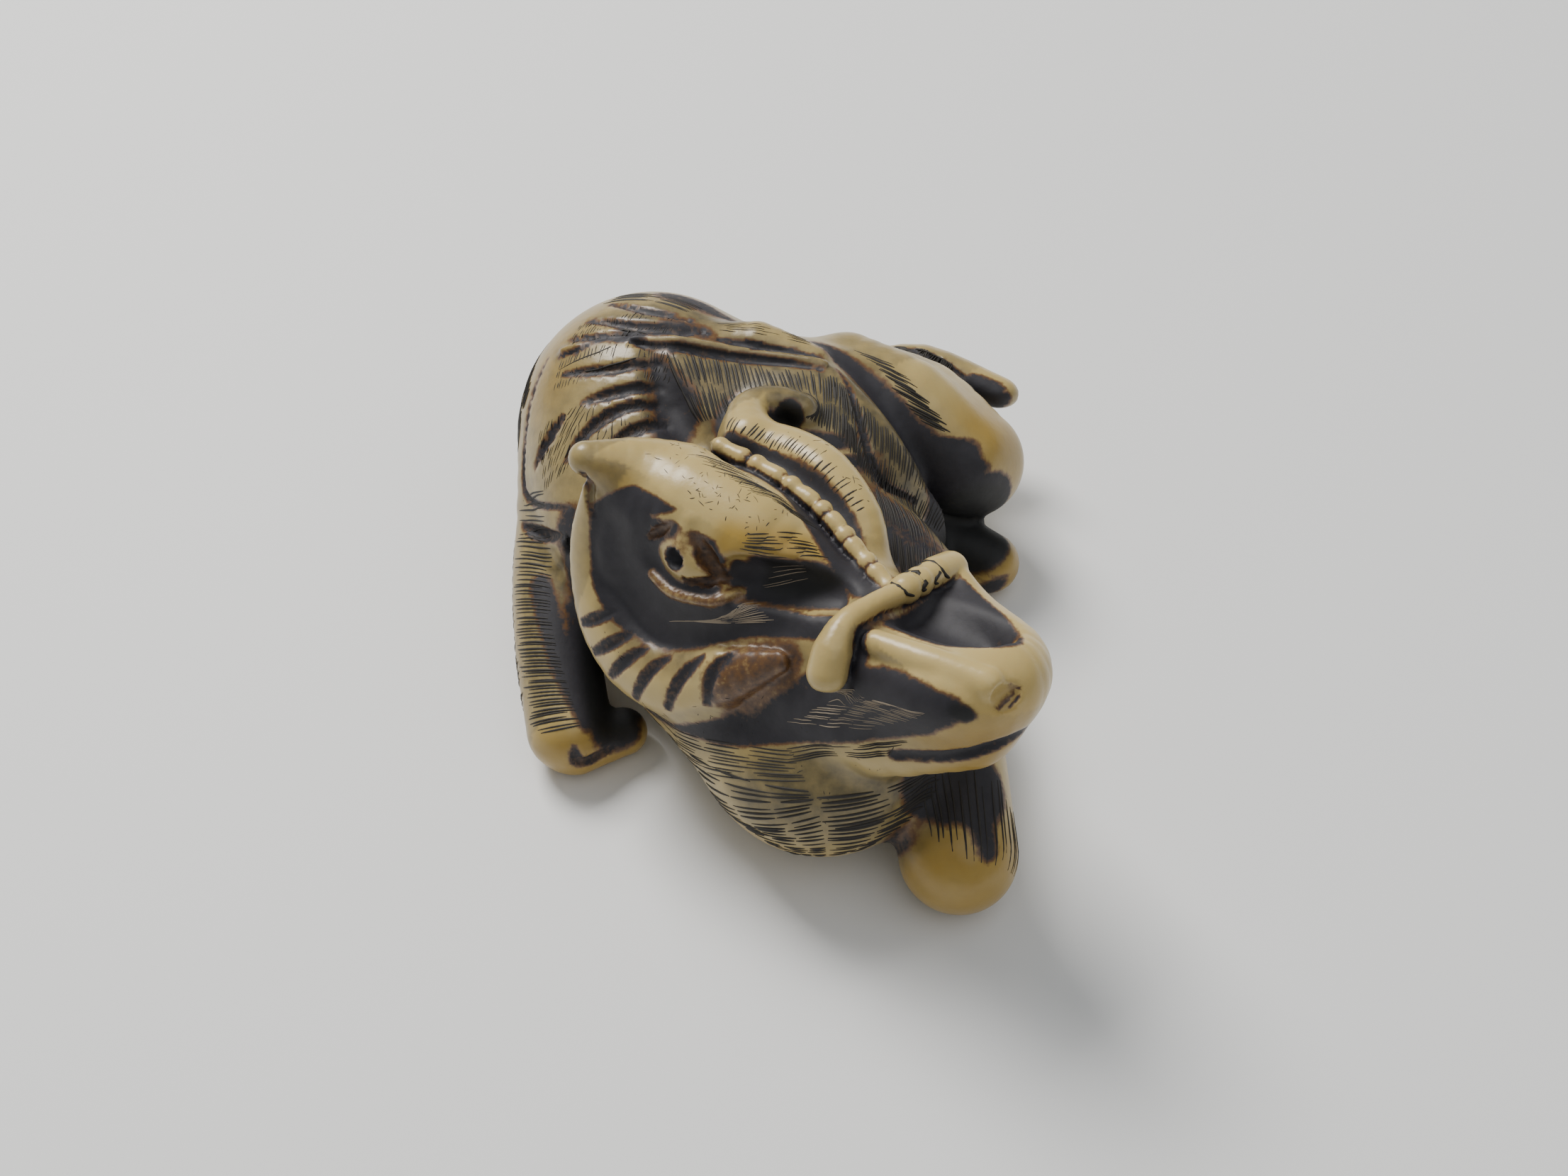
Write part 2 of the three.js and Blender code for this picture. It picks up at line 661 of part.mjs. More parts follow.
// ---------------------------------------------------------------- the solid
function makeSolid() {
  const { points, faces } = findSurface();
  const kept = thin(points, faces, FACETS);
  const used = [...new Set(kept.flat())];
  const place = new Map(used.map((corner, n) => [corner, n]));
  const positions = new Float32Array(used.length * 3);
  used.forEach((corner, n) => {
    settle(points[corner], form);
    if (Math.abs(points[corner][2] - REST_PLANE) < 0.03) {
      points[corner][2] = REST_PLANE;
    }
    positions.set(points[corner], n * 3);
  });
  const geometry = new THREE.BufferGeometry();
  geometry.setAttribute('position', new THREE.BufferAttribute(positions, 3));
  geometry.setIndex(kept.flat().map((corner) => place.get(corner)));
  geometry.computeBoundingBox();
  const box = geometry.boundingBox;
  geometry.translate(-(box.min.x + box.max.x) / 2, -(box.min.y + box.max.y) / 2, -box.min.z);
  geometry.computeVertexNormals();
  return geometry;
}

const netsuke = new THREE.Group();
const antler = new THREE.MeshStandardMaterial({ color: 0xd9bf86, roughness: 0.36, metalness: 0 });
const carving = new THREE.Mesh(makeSolid(), antler);
carving.name = 'netsuke';
netsuke.add(carving);

export default netsuke;
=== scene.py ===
import bpy
import math
import numpy as np
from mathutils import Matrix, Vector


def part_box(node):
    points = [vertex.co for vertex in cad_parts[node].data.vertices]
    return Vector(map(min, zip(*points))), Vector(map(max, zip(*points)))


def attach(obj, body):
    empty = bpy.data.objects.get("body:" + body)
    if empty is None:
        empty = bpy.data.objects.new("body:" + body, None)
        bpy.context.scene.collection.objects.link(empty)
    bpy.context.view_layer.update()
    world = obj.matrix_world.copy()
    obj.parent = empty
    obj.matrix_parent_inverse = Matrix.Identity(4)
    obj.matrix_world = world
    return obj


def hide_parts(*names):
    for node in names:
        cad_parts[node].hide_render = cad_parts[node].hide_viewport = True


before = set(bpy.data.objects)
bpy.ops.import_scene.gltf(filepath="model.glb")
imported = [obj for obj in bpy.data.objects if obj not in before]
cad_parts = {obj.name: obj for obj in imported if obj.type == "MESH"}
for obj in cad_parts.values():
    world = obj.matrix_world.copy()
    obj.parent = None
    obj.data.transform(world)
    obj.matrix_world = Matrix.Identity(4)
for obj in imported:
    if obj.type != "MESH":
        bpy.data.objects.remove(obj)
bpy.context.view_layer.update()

# ---------------------------------------------------------------- the carving
# A recumbent, haltered ox cut from one piece of stag antler or ivory. The carver roughs
# out rounded masses, runs them together, cuts the hollows between them and then the lines.
# Lengths are millimetres here: x to the right, y away from the head, z up. A place on the
# head is given as distances forward, to the near side and up from the root of the horns.
def v3(x, y, z):
    return np.array([x, y, z], float)


def unit(v):
    v = np.asarray(v, float)
    return v / np.linalg.norm(v)


HEAD_ROOT = v3(-5.3, 3.6, 23.0)
FWD = unit((0.695, -0.717, -0.053))
NEAR = np.array((-0.65, -0.68, 0.343))
NEAR = unit(NEAR - FWD * NEAR.dot(FWD))
UP = -unit(np.cross(FWD, NEAR))
HEAD = np.array([FWD, NEAR, UP])
BODY = np.eye(3)


def head(f, n, u):
    return HEAD_ROOT + f * FWD + n * NEAR + u * UP


body = v3


def curve(points, steps=4):
    """A smooth line through the points, with a few steps in each span."""
    p = np.asarray(points, float)
    if len(p) == 2:
        return p
    p = np.vstack([2 * p[0] - p[1], p, 2 * p[-1] - p[-2]])
    out = []
    for i in range(len(p) - 3):
        t = (np.arange(steps) / steps)[:, None]
        a, b, c, d = p[i:i + 4]
        out.append(
            0.5 * (
                2 * b + (c - a) * t + (2 * a - 5 * b + 4 * c - d) * t ** 2 + (3 * b - a - 3 * c + d)
                * t ** 3
            )
        )
    return np.vstack(out + [p[-2][None]])


class Mass:
    """A rounded mass: an ellipsoid, as the distance from its skin."""

    def __init__(self, centre, radii, axes=BODY):
        self.c, self.r, self.a = np.asarray(centre, float), np.asarray(radii, float), axes
        self.lo, self.hi = self.c - self.r.max(), self.c + self.r.max()

    def __call__(self, p):
        q = (p - self.c) @ self.a.T / self.r
        k = np.sqrt((q * q).sum(1))
        q /= self.r
        return k * (k - 1) / (np.sqrt((q * q).sum(1)) + 1e-9)


class Limb:
    """A tapering limb along a smooth line, flattened along an axis where one is given."""

    def __init__(self, points, radii, squash_axis=None, squash=1.0, steps=4):
        n = len(points)
        self.p = curve(points, steps)
        self.r = np.interp(np.linspace(0, n - 1, len(self.p)), np.arange(n), np.ones(n) * radii)
        m = self.r.max()
        self.lo, self.hi = self.p.min(0) - m, self.p.max(0) + m
        self.axis, self.k = squash_axis, squash
        self.s = self.squeeze(self.p) if squash_axis is not None else self.p

    def squeeze(self, p):
        return p + np.outer(p @ self.axis, self.axis) * (1 / self.k - 1)

    def __call__(self, p):
        q = self.squeeze(p) if self.axis is not None else p
        best = np.full(len(p), 1e9)
        for a, b, ra, rb in zip(self.s[:-1], self.s[1:], self.r[:-1], self.r[1:]):
            ab = b - a
            w = q - a
            t = np.clip(w @ ab / (ab @ ab + 1e-9), 0, 1)
            w = w - t[:, None] * ab
            best = np.minimum(best, np.sqrt((w * w).sum(1)) - (ra + (rb - ra) * t))
        return best * (self.k + (1 - self.k) * 0.35) if self.axis is not None else best


def blended(a, b, k):
    """The lesser of two distances, with the corner between them run together over k."""
    h = np.clip(0.5 + 0.5 * (b - a) / k, 0, 1)
    return b * (1 - h) + a * h - k * h * (1 - h)


class Form:
    """Masses and limbs joined and cut one after another, each with its own soft blend."""

    def __init__(self):
        self.steps, self.reach = [], 1.5

    def join(self, shape, blend):
        self.steps.append((shape, blend, False))

    def cut(self, shape, blend):
        self.steps.append((shape, blend, True))

    def __call__(self, p):
        d = np.full(len(p), 40.0)
        for shape, blend, cut in self.steps:
            if isinstance(shape, Form):
                near = np.ones(len(p), bool)
                shape.reach = self.reach
            else:
                m = blend + self.reach
                near = ((p > shape.lo - m) & (p < shape.hi + m)).all(1)
            if not near.any():
                continue
            e, q = shape(p[near]), d[near]
            d[near] = -blended(-q, e, blend) if cut else blended(q, e, blend)
        return d


def slope(form, p, e=0.04):
    """The steepest slope of the distance, which points out of the surface."""
    return np.stack([(form(p + s) - form(p - s)) / (2 * e) for s in np.eye(3) * e], 1)


def settle(form, p, passes=4, most=0.5):
    """Moves points along the slope until they lie on the surface."""
    for _ in range(passes):
        d, g = form(p), slope(form, p)
        p = p - g * np.clip(d / np.maximum((g * g).sum(1), 0.25), -most, most)[:, None]
    return p


def laid(form, guides, lift=0.0, steps=5):
    """A smooth line laid on the surface through its guide points and lifted a little."""
    p = settle(form, curve(guides, steps))
    n = slope(form, p)
    return p + n / np.linalg.norm(n, axis=1)[:, None] * lift


def groove(form, guides, width, soft=0.15, lift=0.05):
    """Cuts a groove that swells from a point at each end, and returns its cutter."""
    line = laid(form, guides, lift)
    t = np.linspace(0, 1, len(line))
    made = Limb(
        line, width / 2 * (0.25 + 0.75 * np.sin(np.pi * np.minimum(t ** 1.2, 0.92)) ** 0.6), steps=1
    )
    form.cut(made, soft)
    return made


def beaded(guides, radius, segments, soft=0.55):
    """A rope that swells and draws in at each turn of its lay."""
    line = curve(guides, 8)
    t = np.linspace(0, segments, len(line))
    return Limb(line, radius * (soft + (1 - soft) * np.abs(np.sin(np.pi * t)) ** 0.5), steps=1)


ox = Form()
# the curled trunk: hump, flank, rump, and the chest that carries the neck
ox.join(Mass(body(-10.8, 17.8, 11.2), (11.3, 12, 11.3)), 1)
ox.join(Mass(body(0.9, 14.2, 9.9), (11.9, 11.5, 11)), 4)
ox.join(Mass(body(8.6, 17, 7), (9, 9.5, 8.5)), 3)
ox.join(Limb([body(-11, 8, 10), body(-6, 0, 9), body(2, -8.5, 9)], (7.8, 7.7, 7)), 6)
# the valley between flank and haunch, and the deep pocket at its foot
ox.cut(
    Limb(
        [body(3.2, 18.6, 21.6), body(7, 15.6, 20.0), body(10.4, 13.1, 17.2), body(13, 11.8, 13.5)],
        (0.9, 1.5, 1.9, 2.4),
    ),
    1.5,
)
ox.cut(Limb([body(13.5, 12.2, 11), body(15.5, 11, 7), body(17, 9, 3.5)], (2.6, 2.6, 2.6)), 1)
# the haunch, its thigh, and the hind hoof under it
ox.join(Limb([body(5.5, 24, 9.8), body(11, 20, 10.3), body(15.6, 16.6, 8.8)], (5, 5.4, 4.7)), 0.8)
ox.join(Limb([body(5.2, 20.8, 14.8), body(9.8, 17.4, 14), body(14.2, 15, 10.8)], (3.6, 4.4, 4.3)), 1.2)
ox.join(Limb([body(12, 14, 3.2), body(17.5, 10.8, 2.5)], (3, 2.6)), 1)
# the flattened end of the tail
ox.join(
    Limb(
        [body(7, 28.6, 9), body(12.5, 28, 9.8), body(18.8, 25.2, 9)], (1.8, 2.4, 2),
        unit((0.2, 0.5, 0.8)), 0.7,
    ),
    0.5,
)
# the lens-shaped swelling on the ridge of the back
ox.join(
    Limb(
        [body(-6.6, 19.3, 20.6), body(-2.2, 19.2, 20.2), body(2.4, 17.3, 19.9)],
        (0.8, 1.8, 1),
        unit((0, 0.3, 1)),
        0.7,
    ),
    0.8,
)
# the near foreleg, with its hoof turned inward
ox.join(
    Limb(
        [body(-16.5, 16, 11.5), body(-18.2, 9, 8.5), body(-18.1, 1, 6), body(-16.6, -6.8, 3.1)],
        (5, 3.6, 3.3, 3.3),
    ),
    1.2,
)
ox.join(Limb([body(-16, -7.4, 2.4), body(-12.6, -6.2, 1.9)], (2.6, 1.9)), 0.6)
# the pocket behind the crest of the head
ox.cut(Limb([body(-10, 15.0, 22.6), body(-8.6, 10.8, 21.0), body(-6.8, 8.4, 19.8)], (0.8, 1.7, 1.6)), 1)
# the far shoulder and foreleg, knee foremost
ox.join(
    Limb(
        [
            body(3.6, 6.3, 13), body(7.5, 4, 10.7), body(11.3, -0.5, 8.4), body(12, -9, 6.8),
            body(12.5, -18.3, 4.1),
        ],
        (4.4, 4.5, 4.2, 4.1, 4.3),
    ),
    0.9,
)
# the keeled brisket, and the neck above it
ox.join(Mass(body(2.8, -11.6, 8.4), (8.6, 8.2, 7.7)), 2)
ox.join(Limb([head(2, 3, -12), body(-3, -7.3, 9.7), body(2.5, -12, 8.9)], (5.5, 6.3, 6)), 3)
# the skin folds of the hump and shoulder, each a tapered groove of the width given, then
# the tail's line, the notch of the knee and the fold beside the far shoulder
scored = []
for width, guides in (
    (0.8, [body(-14, 22, 21), body(-11, 20, 22), body(-7.4, 19.4, 22)]),
    (0.9, [body(-15.6, 20, 21), body(-11.7, 18, 22.5), body(-7.6, 18, 22)]),
    (0.9, [body(-17, 18.4, 20.6), body(-13, 17, 22), body(-9, 17.6, 22.4), body(-6.5, 18.2, 21.7)]),
    (0.7, [body(-17.7, 17, 20), body(-9, 16, 22), body(-2, 15.8, 21), body(3, 14.9, 21)]),
    (0.5, [body(-6, 17.8, 21.5), body(-1.9, 17.3, 21), body(3, 16.2, 20.7)]),
    (0.8, [body(-17.3, 15, 20), body(-13.4, 13.9, 21.6), body(-9.7, 14.6, 21.5)]),
    (0.9, [body(-15.5, 11.8, 20), body(-12.8, 11.9, 21), body(-9.5, 12.9, 20.5)]),
    (0.9, [body(-16.8, 8, 17.5), body(-15, 9.4, 19.2), body(-13, 10.3, 20.4), body(-9.5, 11.6, 20)]),
    (0.9, [body(-13.6, 7.4, 19), body(-11.6, 8.7, 19.9), body(-8.8, 10.1, 19.3)]),
    (0.8, [body(-19.6, 9.8, 14.9), body(-18.5, 10.5, 17.1), body(-17.1, 11.4, 18.9)]),
    (
        0.5,
        [
            body(-18.9, 18, 19.1), body(-20.7, 13.6, 15.2), body(-21, 10.7, 12.6),
            body(-19.9, 8.3, 12.7), body(-16.4, 5, 15.5),
        ],
    ),
    (1.0, [body(-21, 7.8, 10.6), body(-19.2, 5.9, 11.6), body(-17, 4, 13.4)]),
    (0.8, [body(10.9, 28.2, 11.5), body(13.2, 26.5, 11.6), body(15.6, 25, 10.9)]),
    (0.8, [body(-15.8, -9.6, 4.8), body(-15.6, -9.6, 3.2), body(-13, -8.4, 3)]),
    (0.5, [body(4.1, 15.4, 20.3), body(6.9, 7.5, 17), body(10.2, 7.8, 13.3)]),
):
    scored.append(groove(ox, guides, width + 0.15))
# the thin raised ridge between two of the folds
ox.join(
    Limb(
        laid(
            ox,
            [
                body(-17.6, 17.4, 20.2), body(-9.8, 16.8, 21.6), body(-2.7, 16.6, 20.8),
                body(3.2, 15.6, 20.7),
            ],
            0.1,
        ),
        0.3,
        steps=1,
    ),
    0.25,
)
# the small drilled hole above the near foreleg, and the hollow under the horn's curl
ox.cut(Mass(body(-16.4, 3, 13.3), (0.4, 0.8, 0.8)), 0.1)
ox.cut(Mass(body(0.3, 9.7, 21), (1, 1.2, 1.2)), 0.3)
# the head: cheek, ear's root, long nose and jaw
skull = Form()
skull.join(Mass(head(6.5, 0.2, -7), (10.5, 8.2, 7.8), HEAD), 1)
skull.join(Mass(head(0.8, 5.6, -5), (3.2, 3.6, 5.5), HEAD), 1.5)
skull.join(Limb([head(8, 0, -5), head(18, 0, -5), head(25.5, 0, -2.8)], (5.8, 5.6, 4.2)), 3)
skull.join(
    Limb(
        [head(6, 1.5, -10.5), head(15, 2, -8.8), head(22, 2, -6.6), head(27, 0.8, -3.4)],
        (5, 4.8, 4.0, 2.8),
    ),
    1.5,
)
# the upper lip and nose pad, bent round the front in a horseshoe
skull.join(
    Limb(
        [
            head(21.5, 3.6, -2.2), head(25.8, 3.4, -0.4), head(27.4, 0.6, 0.5), head(26.2, -2.4, 0.2),
            head(21, -4.2, -0.9),
        ],
        (2.8, 2.9, 3.0, 2.5, 2),
    ),
    2.2,
)
# the near brow, the far brow, and the groove for the rope between them
skull.join(
    Limb(
        [head(-0.8, 5.5, -2.2), head(3.5, 4.6, -1.2), head(8, 3.6, -0.9), head(12.6, 2.2, -1.6)],
        (3.2, 3.8, 3.6, 2.2),
    ),
    1.2,
)
skull.join(
    Limb(
        [
            head(-0.5, -4.4, -0.9), head(3.5, -4.6, 0.5), head(7, -4.4, 1.1), head(11, -3.9, 0.2),
            head(14, -3, -1.8),
        ],
        (2, 2.2, 2.2, 2, 1.6),
    ),
    1,
)
skull.cut(
    Limb(
        [
            head(-1.5, -0.4, 1.4), head(2, -0.7, 1.9), head(6, -0.9, 2.2), head(10, -0.9, 2.2),
            head(13.5, -0.5, 1.9),
        ],
        (0.9, 1.2, 1.4, 1.5, 1.6),
    ),
    0.6,
)
# the hollow top of the nose and its far rim
skull.cut(Limb([head(20.2, 0.3, 2.2), head(24.5, -0.2, 2.6)], (2.8, 2.3)), 0.8)
skull.join(
    Limb([head(18.4, -5.9, 0.3), head(22.5, -4.4, 0.3), head(26.4, -2.6, 1.2)], (1.1, 1.1, 1.2)), 0.8
)
# the hollow under the near brow, and the hollow of the cheek
skull.cut(
    Limb([head(10.6, 6.6, -1.8), head(13.4, 4.8, -0.9), head(15.6, 3.4, 0)], (1.7, 1.7, 1.4)), 0.7
)
skull.cut(
    Limb(
        [
            head(1.0, 10.6, -3.8), head(3.2, 10.4, -7), head(7, 10.2, -7.8), head(11, 9.2, -5.6),
            head(14.5, 6.6, -2.6),
        ],
        (1.9, 2.3, 2.5, 2.2, 1.4),
    ),
    0.9,
)
# the near ear, drawn out to a blunt tip, and the far horn curling back on itself
skull.join(Limb([head(1.2, 3.5, -1), head(-1.2, 6.6, -0.6), head(-2.9, 9.3, 0)], (2.8, 2.2, 1.2)), 1)
skull.join(
    Limb(
        [head(0.3, -3.6, 0.2), head(-2.4, -6.4, 0.4), head(-1.8, -8.6, 1.1), head(-0.2, -9.7, 1.2)],
        (2, 1.4, 1.1, 1),
    ),
    0.8,
)
# the crescent rim of the jowl
skull.join(
    Limb(
        [
            head(-2, 8.8, -2.5), head(-1.6, 8.4, -7), head(0.7, 8.2, -10.8), head(4.4, 8.1, -12.8),
            head(8.6, 7.9, -11.9), head(12.2, 7.5, -8.6), head(15.4, 6.6, -5.0),
        ],
        (0.9, 1.5, 2.2, 2.7, 2.6, 2.1, 0.8),
        NEAR,
        0.6,
    ),
    0.4,
)
# the halter rope down the middle of the face
face_rope = beaded(
    [
        head(-0.2, -0.4, 0.35), head(5, -0.9, 1.15), head(10, -0.9, 1.35), head(14, -0.4, 0.85),
        head(18.2, 0.2, 0.5),
    ],
    0.78,
    13,
    0.35,
)
skull.join(face_rope, 0.05)
# the nose rope: its bed, the hanging near end, the twisted stretch and the far lug
skull.join(Limb([head(18.4, 4.6, -0.9), head(18.4, 0, -0.6), head(18.3, -5, -0.9)], (1.4, 1.2, 1.4)), 1)
nose_near = Limb(
    [
        head(19.5, 7.4, -2.2), head(19, 6.9, -1), head(18.4, 5.6, 0.3), head(18.4, 3.4, 0.9),
        head(18.5, 0.8, 1),
    ],
    (1.35, 1.3, 0.9, 0.75, 0.8),
)
skull.join(nose_near, 0.2)
nose_twist = beaded([head(18.5, 0.5, 1.1), head(18.5, -1.6, 1.2), head(18.4, -3.5, 1.1)], 1.05, 3, 0.25)
skull.join(nose_twist, 0.05)
nose_far = Limb([head(18.3, -3.9, 0.9), head(18.2, -6, 0.5)], (1.2, 1.25))
skull.join(nose_far, 0.15)
# the bar over the near nostril, cut off square, with the nostril before it
bar = Limb([head(20.6, 5.0, 0.2), head(24, 4.5, 1.2), head(27.8, 3.4, 2.0)], (0.9, 1.1, 1.2))
skull.join(bar, 0.2)
skull.cut(Mass(head(29.4, 3.6, 2.3), (0.8, 1.6, 1.2), HEAD), 0.1)
# the eye: ball, peaked upper lid, lower lid, and the cuts round it
eyeball = Mass(head(6.1, 6.7, -2.6), (2.5, 1.8, 2.1), HEAD)
skull.join(eyeball, 0.3)
peak = Limb([head(6, 7.4, -1.8), head(5.6, 7.4, 0.2)], (1, 0.45))
skull.join(peak, 0.4)
lid = Limb(
    laid(
        skull,
        [
            head(4.5, 8.1, -5.2), head(6.4, 8.2, -5.2), head(8.1, 7.9, -4.6), head(9.6, 7, -3.9),
            head(10.3, 6, -3),
        ],
        0.05,
    ),
    0.33,
    steps=1,
)
skull.join(lid, 0.3)
wedge = Limb([head(6.9, 8.0, -0.2), head(7.9, 7.4, -1.4), head(9, 6.3, -2.8)], (0.35, 0.75, 0.3))
corner = Limb([head(4.9, 8.3, -0.4), head(4.1, 8.2, -1.6), head(3.5, 8.2, -2.5)], (0.2, 0.45, 0.25))
slit = Limb([head(7.2, 7.9, -3.6), head(8.5, 7.2, -3.1), head(9.2, 6.1, -2.7)], (0.25, 0.4, 0.2))
pupil = Mass(head(6, 8.4, -2.6), (0.75, 0.9, 0.75), HEAD)
for part in (wedge, corner, slit, pupil):
    skull.cut(part, 0.12)
# the slots across the crescent
notches = [
    groove(skull, line, 0.85, 0.12, 0.1)
    for line in (
        [head(3, 9, -9.4), head(2, 9.3, -10.6), head(0.8, 9.3, -12)],
        [head(4.8, 8.9, -10), head(4, 9.3, -11.3), head(2.6, 9.3, -13.4)],
        [head(6.4, 8.9, -10.2), head(5.6, 9.3, -11.6), head(4.6, 9.3, -14)],
        [head(8.4, 8.8, -9.4), head(7.7, 9.1, -11), head(7, 9, -14.1)],
        [head(10.8, 8.3, -7.6), head(10.2, 8.9, -9.5), head(9.7, 8.7, -12.7)],
        [head(12.6, 7.8, -5.8), head(12.2, 8.4, -7.4), head(12.2, 8.1, -10.4)],
    )
]
# the fold behind the ear's lip, and the long hollow below the crescent
groove(skull, [head(-2.2, 10.1, -0.3), head(-1.9, 9.6, -2), head(-1.2, 9.2, -3.6)], 0.9)
skull.cut(
    Limb(
        [head(11, 9.4, -14.4), head(16, 9, -9.3), head(20.5, 8.6, -4.8), head(25, 7.6, -1.9)],
        (1.2, 1.6, 1.5, 1),
    ),
    0.6,
)
# the mouth
mouth = Limb(
    [
        head(25.2, 5.2, -5.9), head(27.4, 4.3, -4.6), head(28.8, 3.6, -3.3), head(29.8, 2.6, -2.2),
        head(30.8, 0.3, -1.5), head(30.2, -2.4, -2.2),
    ],
    (0.35, 0.55, 0.6, 0.6, 0.5, 0.35),
)
skull.cut(mouth, 0.3)

ox.join(skull, 1.5)


def axis_lines(low, high, fine_low, fine_high, fine, coarse):
    """Grid lines along one axis, close together over the head and wider elsewhere."""
    lines = [low]
    while lines[-1] < high:
        away = max(fine_low - lines[-1], lines[-1] - fine_high, 0.0)
        lines.append(lines[-1] + fine + (coarse - fine) * min(away / 2.0, 1.0))
    return np.array(lines)


class Rest(Form):
    """The whole ox, flattened where it rests on the ground."""

    def __call__(self, p):
        ox.reach = self.reach
        return np.maximum(ox(p), -p[:, 2])


def surface_of(form, lines):
    """Finds the surface cell by cell: one corner per cell it crosses, one face per edge."""
    n = np.array([len(line) for line in lines])
    stride = np.array([n[1] * n[2], n[2], 1])
    block = 8
    cells = np.stack(
        np.meshgrid(*[np.arange(0, m - 1, block) for m in n], indexing="ij"), -1
    ).reshape(-1, 3)
    while True:
        top = np.minimum(cells + block, n - 1)
        low = np.stack([lines[a][cells[:, a]] for a in range(3)], 1)
        high = np.stack([lines[a][top[:, a]] for a in range(3)], 1)
        half = np.linalg.norm(high - low, axis=1) / 2
        form.reach = half.max() + 0.5
        cells = cells[np.abs(form((low + high) / 2)) < half * 1.45 + 0.3]
        if block == 1:
            break
        block //= 2
        steps = np.array([(i, j, k) for i in (0, 1) for j in (0, 1) for k in (0, 1)]) * block
        cells = (cells[:, None] + steps).reshape(-1, 3)
        cells = cells[(cells < n - 1).all(1)]
    form.reach = 1.5
    corner_steps = np.array([(i, j, k) for i in (0, 1) for j in (0, 1) for k in (0, 1)])
    corner_ids = (cells[:, None] + corner_steps) @ stride
    ids, where = np.unique(corner_ids, return_inverse=True)
    where = where.reshape(corner_ids.shape)
    grid = np.stack([ids // stride[0], ids % stride[0] // stride[1], ids % stride[1]], 1)
    at = np.stack([lines[a][grid[:, a]] for a in range(3)], 1)
    value = form(at)
    v, q = value[where], at[where]
    total, count = np.zeros((len(cells), 3)), np.zeros(len(cells))
    for a in range(8):
        for b in range(8):
            if a < b and bin(a ^ b).count("1") == 1:
                cross = (v[:, a] < 0) != (v[:, b] < 0)
                t = np.where(cross, v[:, a] / np.where(cross, v[:, a] - v[:, b], 1), 0)[:, None]
                total += np.where(cross[:, None], q[:, a] + (q[:, b] - q[:, a]) * t, 0)
                count += cross
    live = count > 0
    cells, verts = cells[live], total[live] / count[live][:, None]
    v = v[live]
    keys = cells @ stride
    order = np.argsort(keys)
    faces = []
    for axis in range(3):
        u, w = (axis + 1) % 3, (axis + 2) % 3
        step = corner_steps[:, axis] == 1
        far = int(np.where((corner_steps == np.eye(3, dtype=int)[axis]).all(1))[0][0])
        cross = (v[:, 0] < 0) != (v[:, far] < 0)
        key = keys[cross]
        ring = np.stack([key, key - stride[u], key - stride[u] - stride[w], key - stride[w]], 1)
        place = order[np.clip(np.searchsorted(keys[order], ring), 0, len(keys) - 1)]
        sound = (keys[place] == ring).all(1)
        place = place[sound]
        out = v[cross][sound][:, 0] < 0
        place[~out] = place[~out][:, ::-1]
        faces.append(place)
    return verts, np.vstack(faces)


whole = Rest()
close_cell = 0.27
wide_cell = 0.5
lines = [
    axis_lines(*span, close_cell, wide_cell)
    for span in ((-24, 22, -16, 20), (-25, 31, -25, 6), (-1.0, 29, 11, 29))
]
points, quads = surface_of(whole, lines)
points = settle(whole, points, 3, 0.2)
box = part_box("netsuke")
centre = (np.array(box[0]) + np.array(box[1])) * 500
middle = (points.min(0) + points.max(0)) / 2
shift = np.array([centre[0] - middle[0], centre[1] - middle[1], -points[:, 2].min()])
mesh = bpy.data.meshes.new("netsuke_surface")
mesh.from_pydata(((points + shift) * 0.001).tolist(), [], quads.tolist())
mesh.polygons.foreach_set("use_smooth", [True] * len(mesh.polygons))
carving = bpy.data.objects.new("netsuke_surface", mesh)
bpy.context.scene.collection.objects.link(carving)

# The black stain lies in every cut and hollow and was rubbed off what stands proud. It is
# worked out for every point of the skin: first from how deep the point lies, then from named
# places on the carving, and last from the parts that the handling has rubbed clean. Painted
# shade is laid into it as well, in the deepest holes and pockets and under the muzzle.
out = slope(whole, points)
out /= np.linalg.norm(out, axis=1)[:, None] + 1e-9
on_head = (points - HEAD_ROOT) @ HEAD.T
near_side = out @ NEAR


def ease(x):
    """Rises smoothly from 0 to 1."""
    x = np.clip(x, 0, 1)
    return x * x * (3 - 2 * x)


def inside(shape, soft, grow=0.0):
    """How far each point of the skin lies within a shape, with a soft edge."""
    return ease(0.5 - (shape(points) - grow) / soft)


def patch(uv, outline, soft):
    """How far each point lies within a rounded outline drawn on a side of the head."""
    outline = curve(list(outline) + [outline[0]], 3)
    dist, odd = np.full(len(uv), 1e9), np.zeros(len(uv), bool)
    for a, b in zip(outline[:-1], outline[1:]):
        ab, w = b - a, uv - a
        t = np.clip(w @ ab / (ab @ ab + 1e-12), 0, 1)
        dist = np.minimum(dist, np.linalg.norm(w - t[:, None] * ab, axis=1))
        crosses = (a[1] > uv[:, 1]) != (b[1] > uv[:, 1])
        odd ^= crosses & (uv[:, 0] < a[0] + (uv[:, 1] - a[1]) * ab[0] / (ab[1] + 1e-12))
    return ease(0.5 + np.where(odd, dist, -dist) / soft)


def over(below, where, value):
    """Lays a value over another one."""
    return below * (1 - where) + value * where


whole.reach = 1.6
groovy = 1 - whole(points + out * 0.45) / 0.45
hollow = 1 - whole(points + out * 1.3) / 1.3
stain_and_shade = np.maximum(ease((groovy - 0.2) / 0.45) * 0.9, ease((hollow - 0.22) / 0.4) * 0.85)
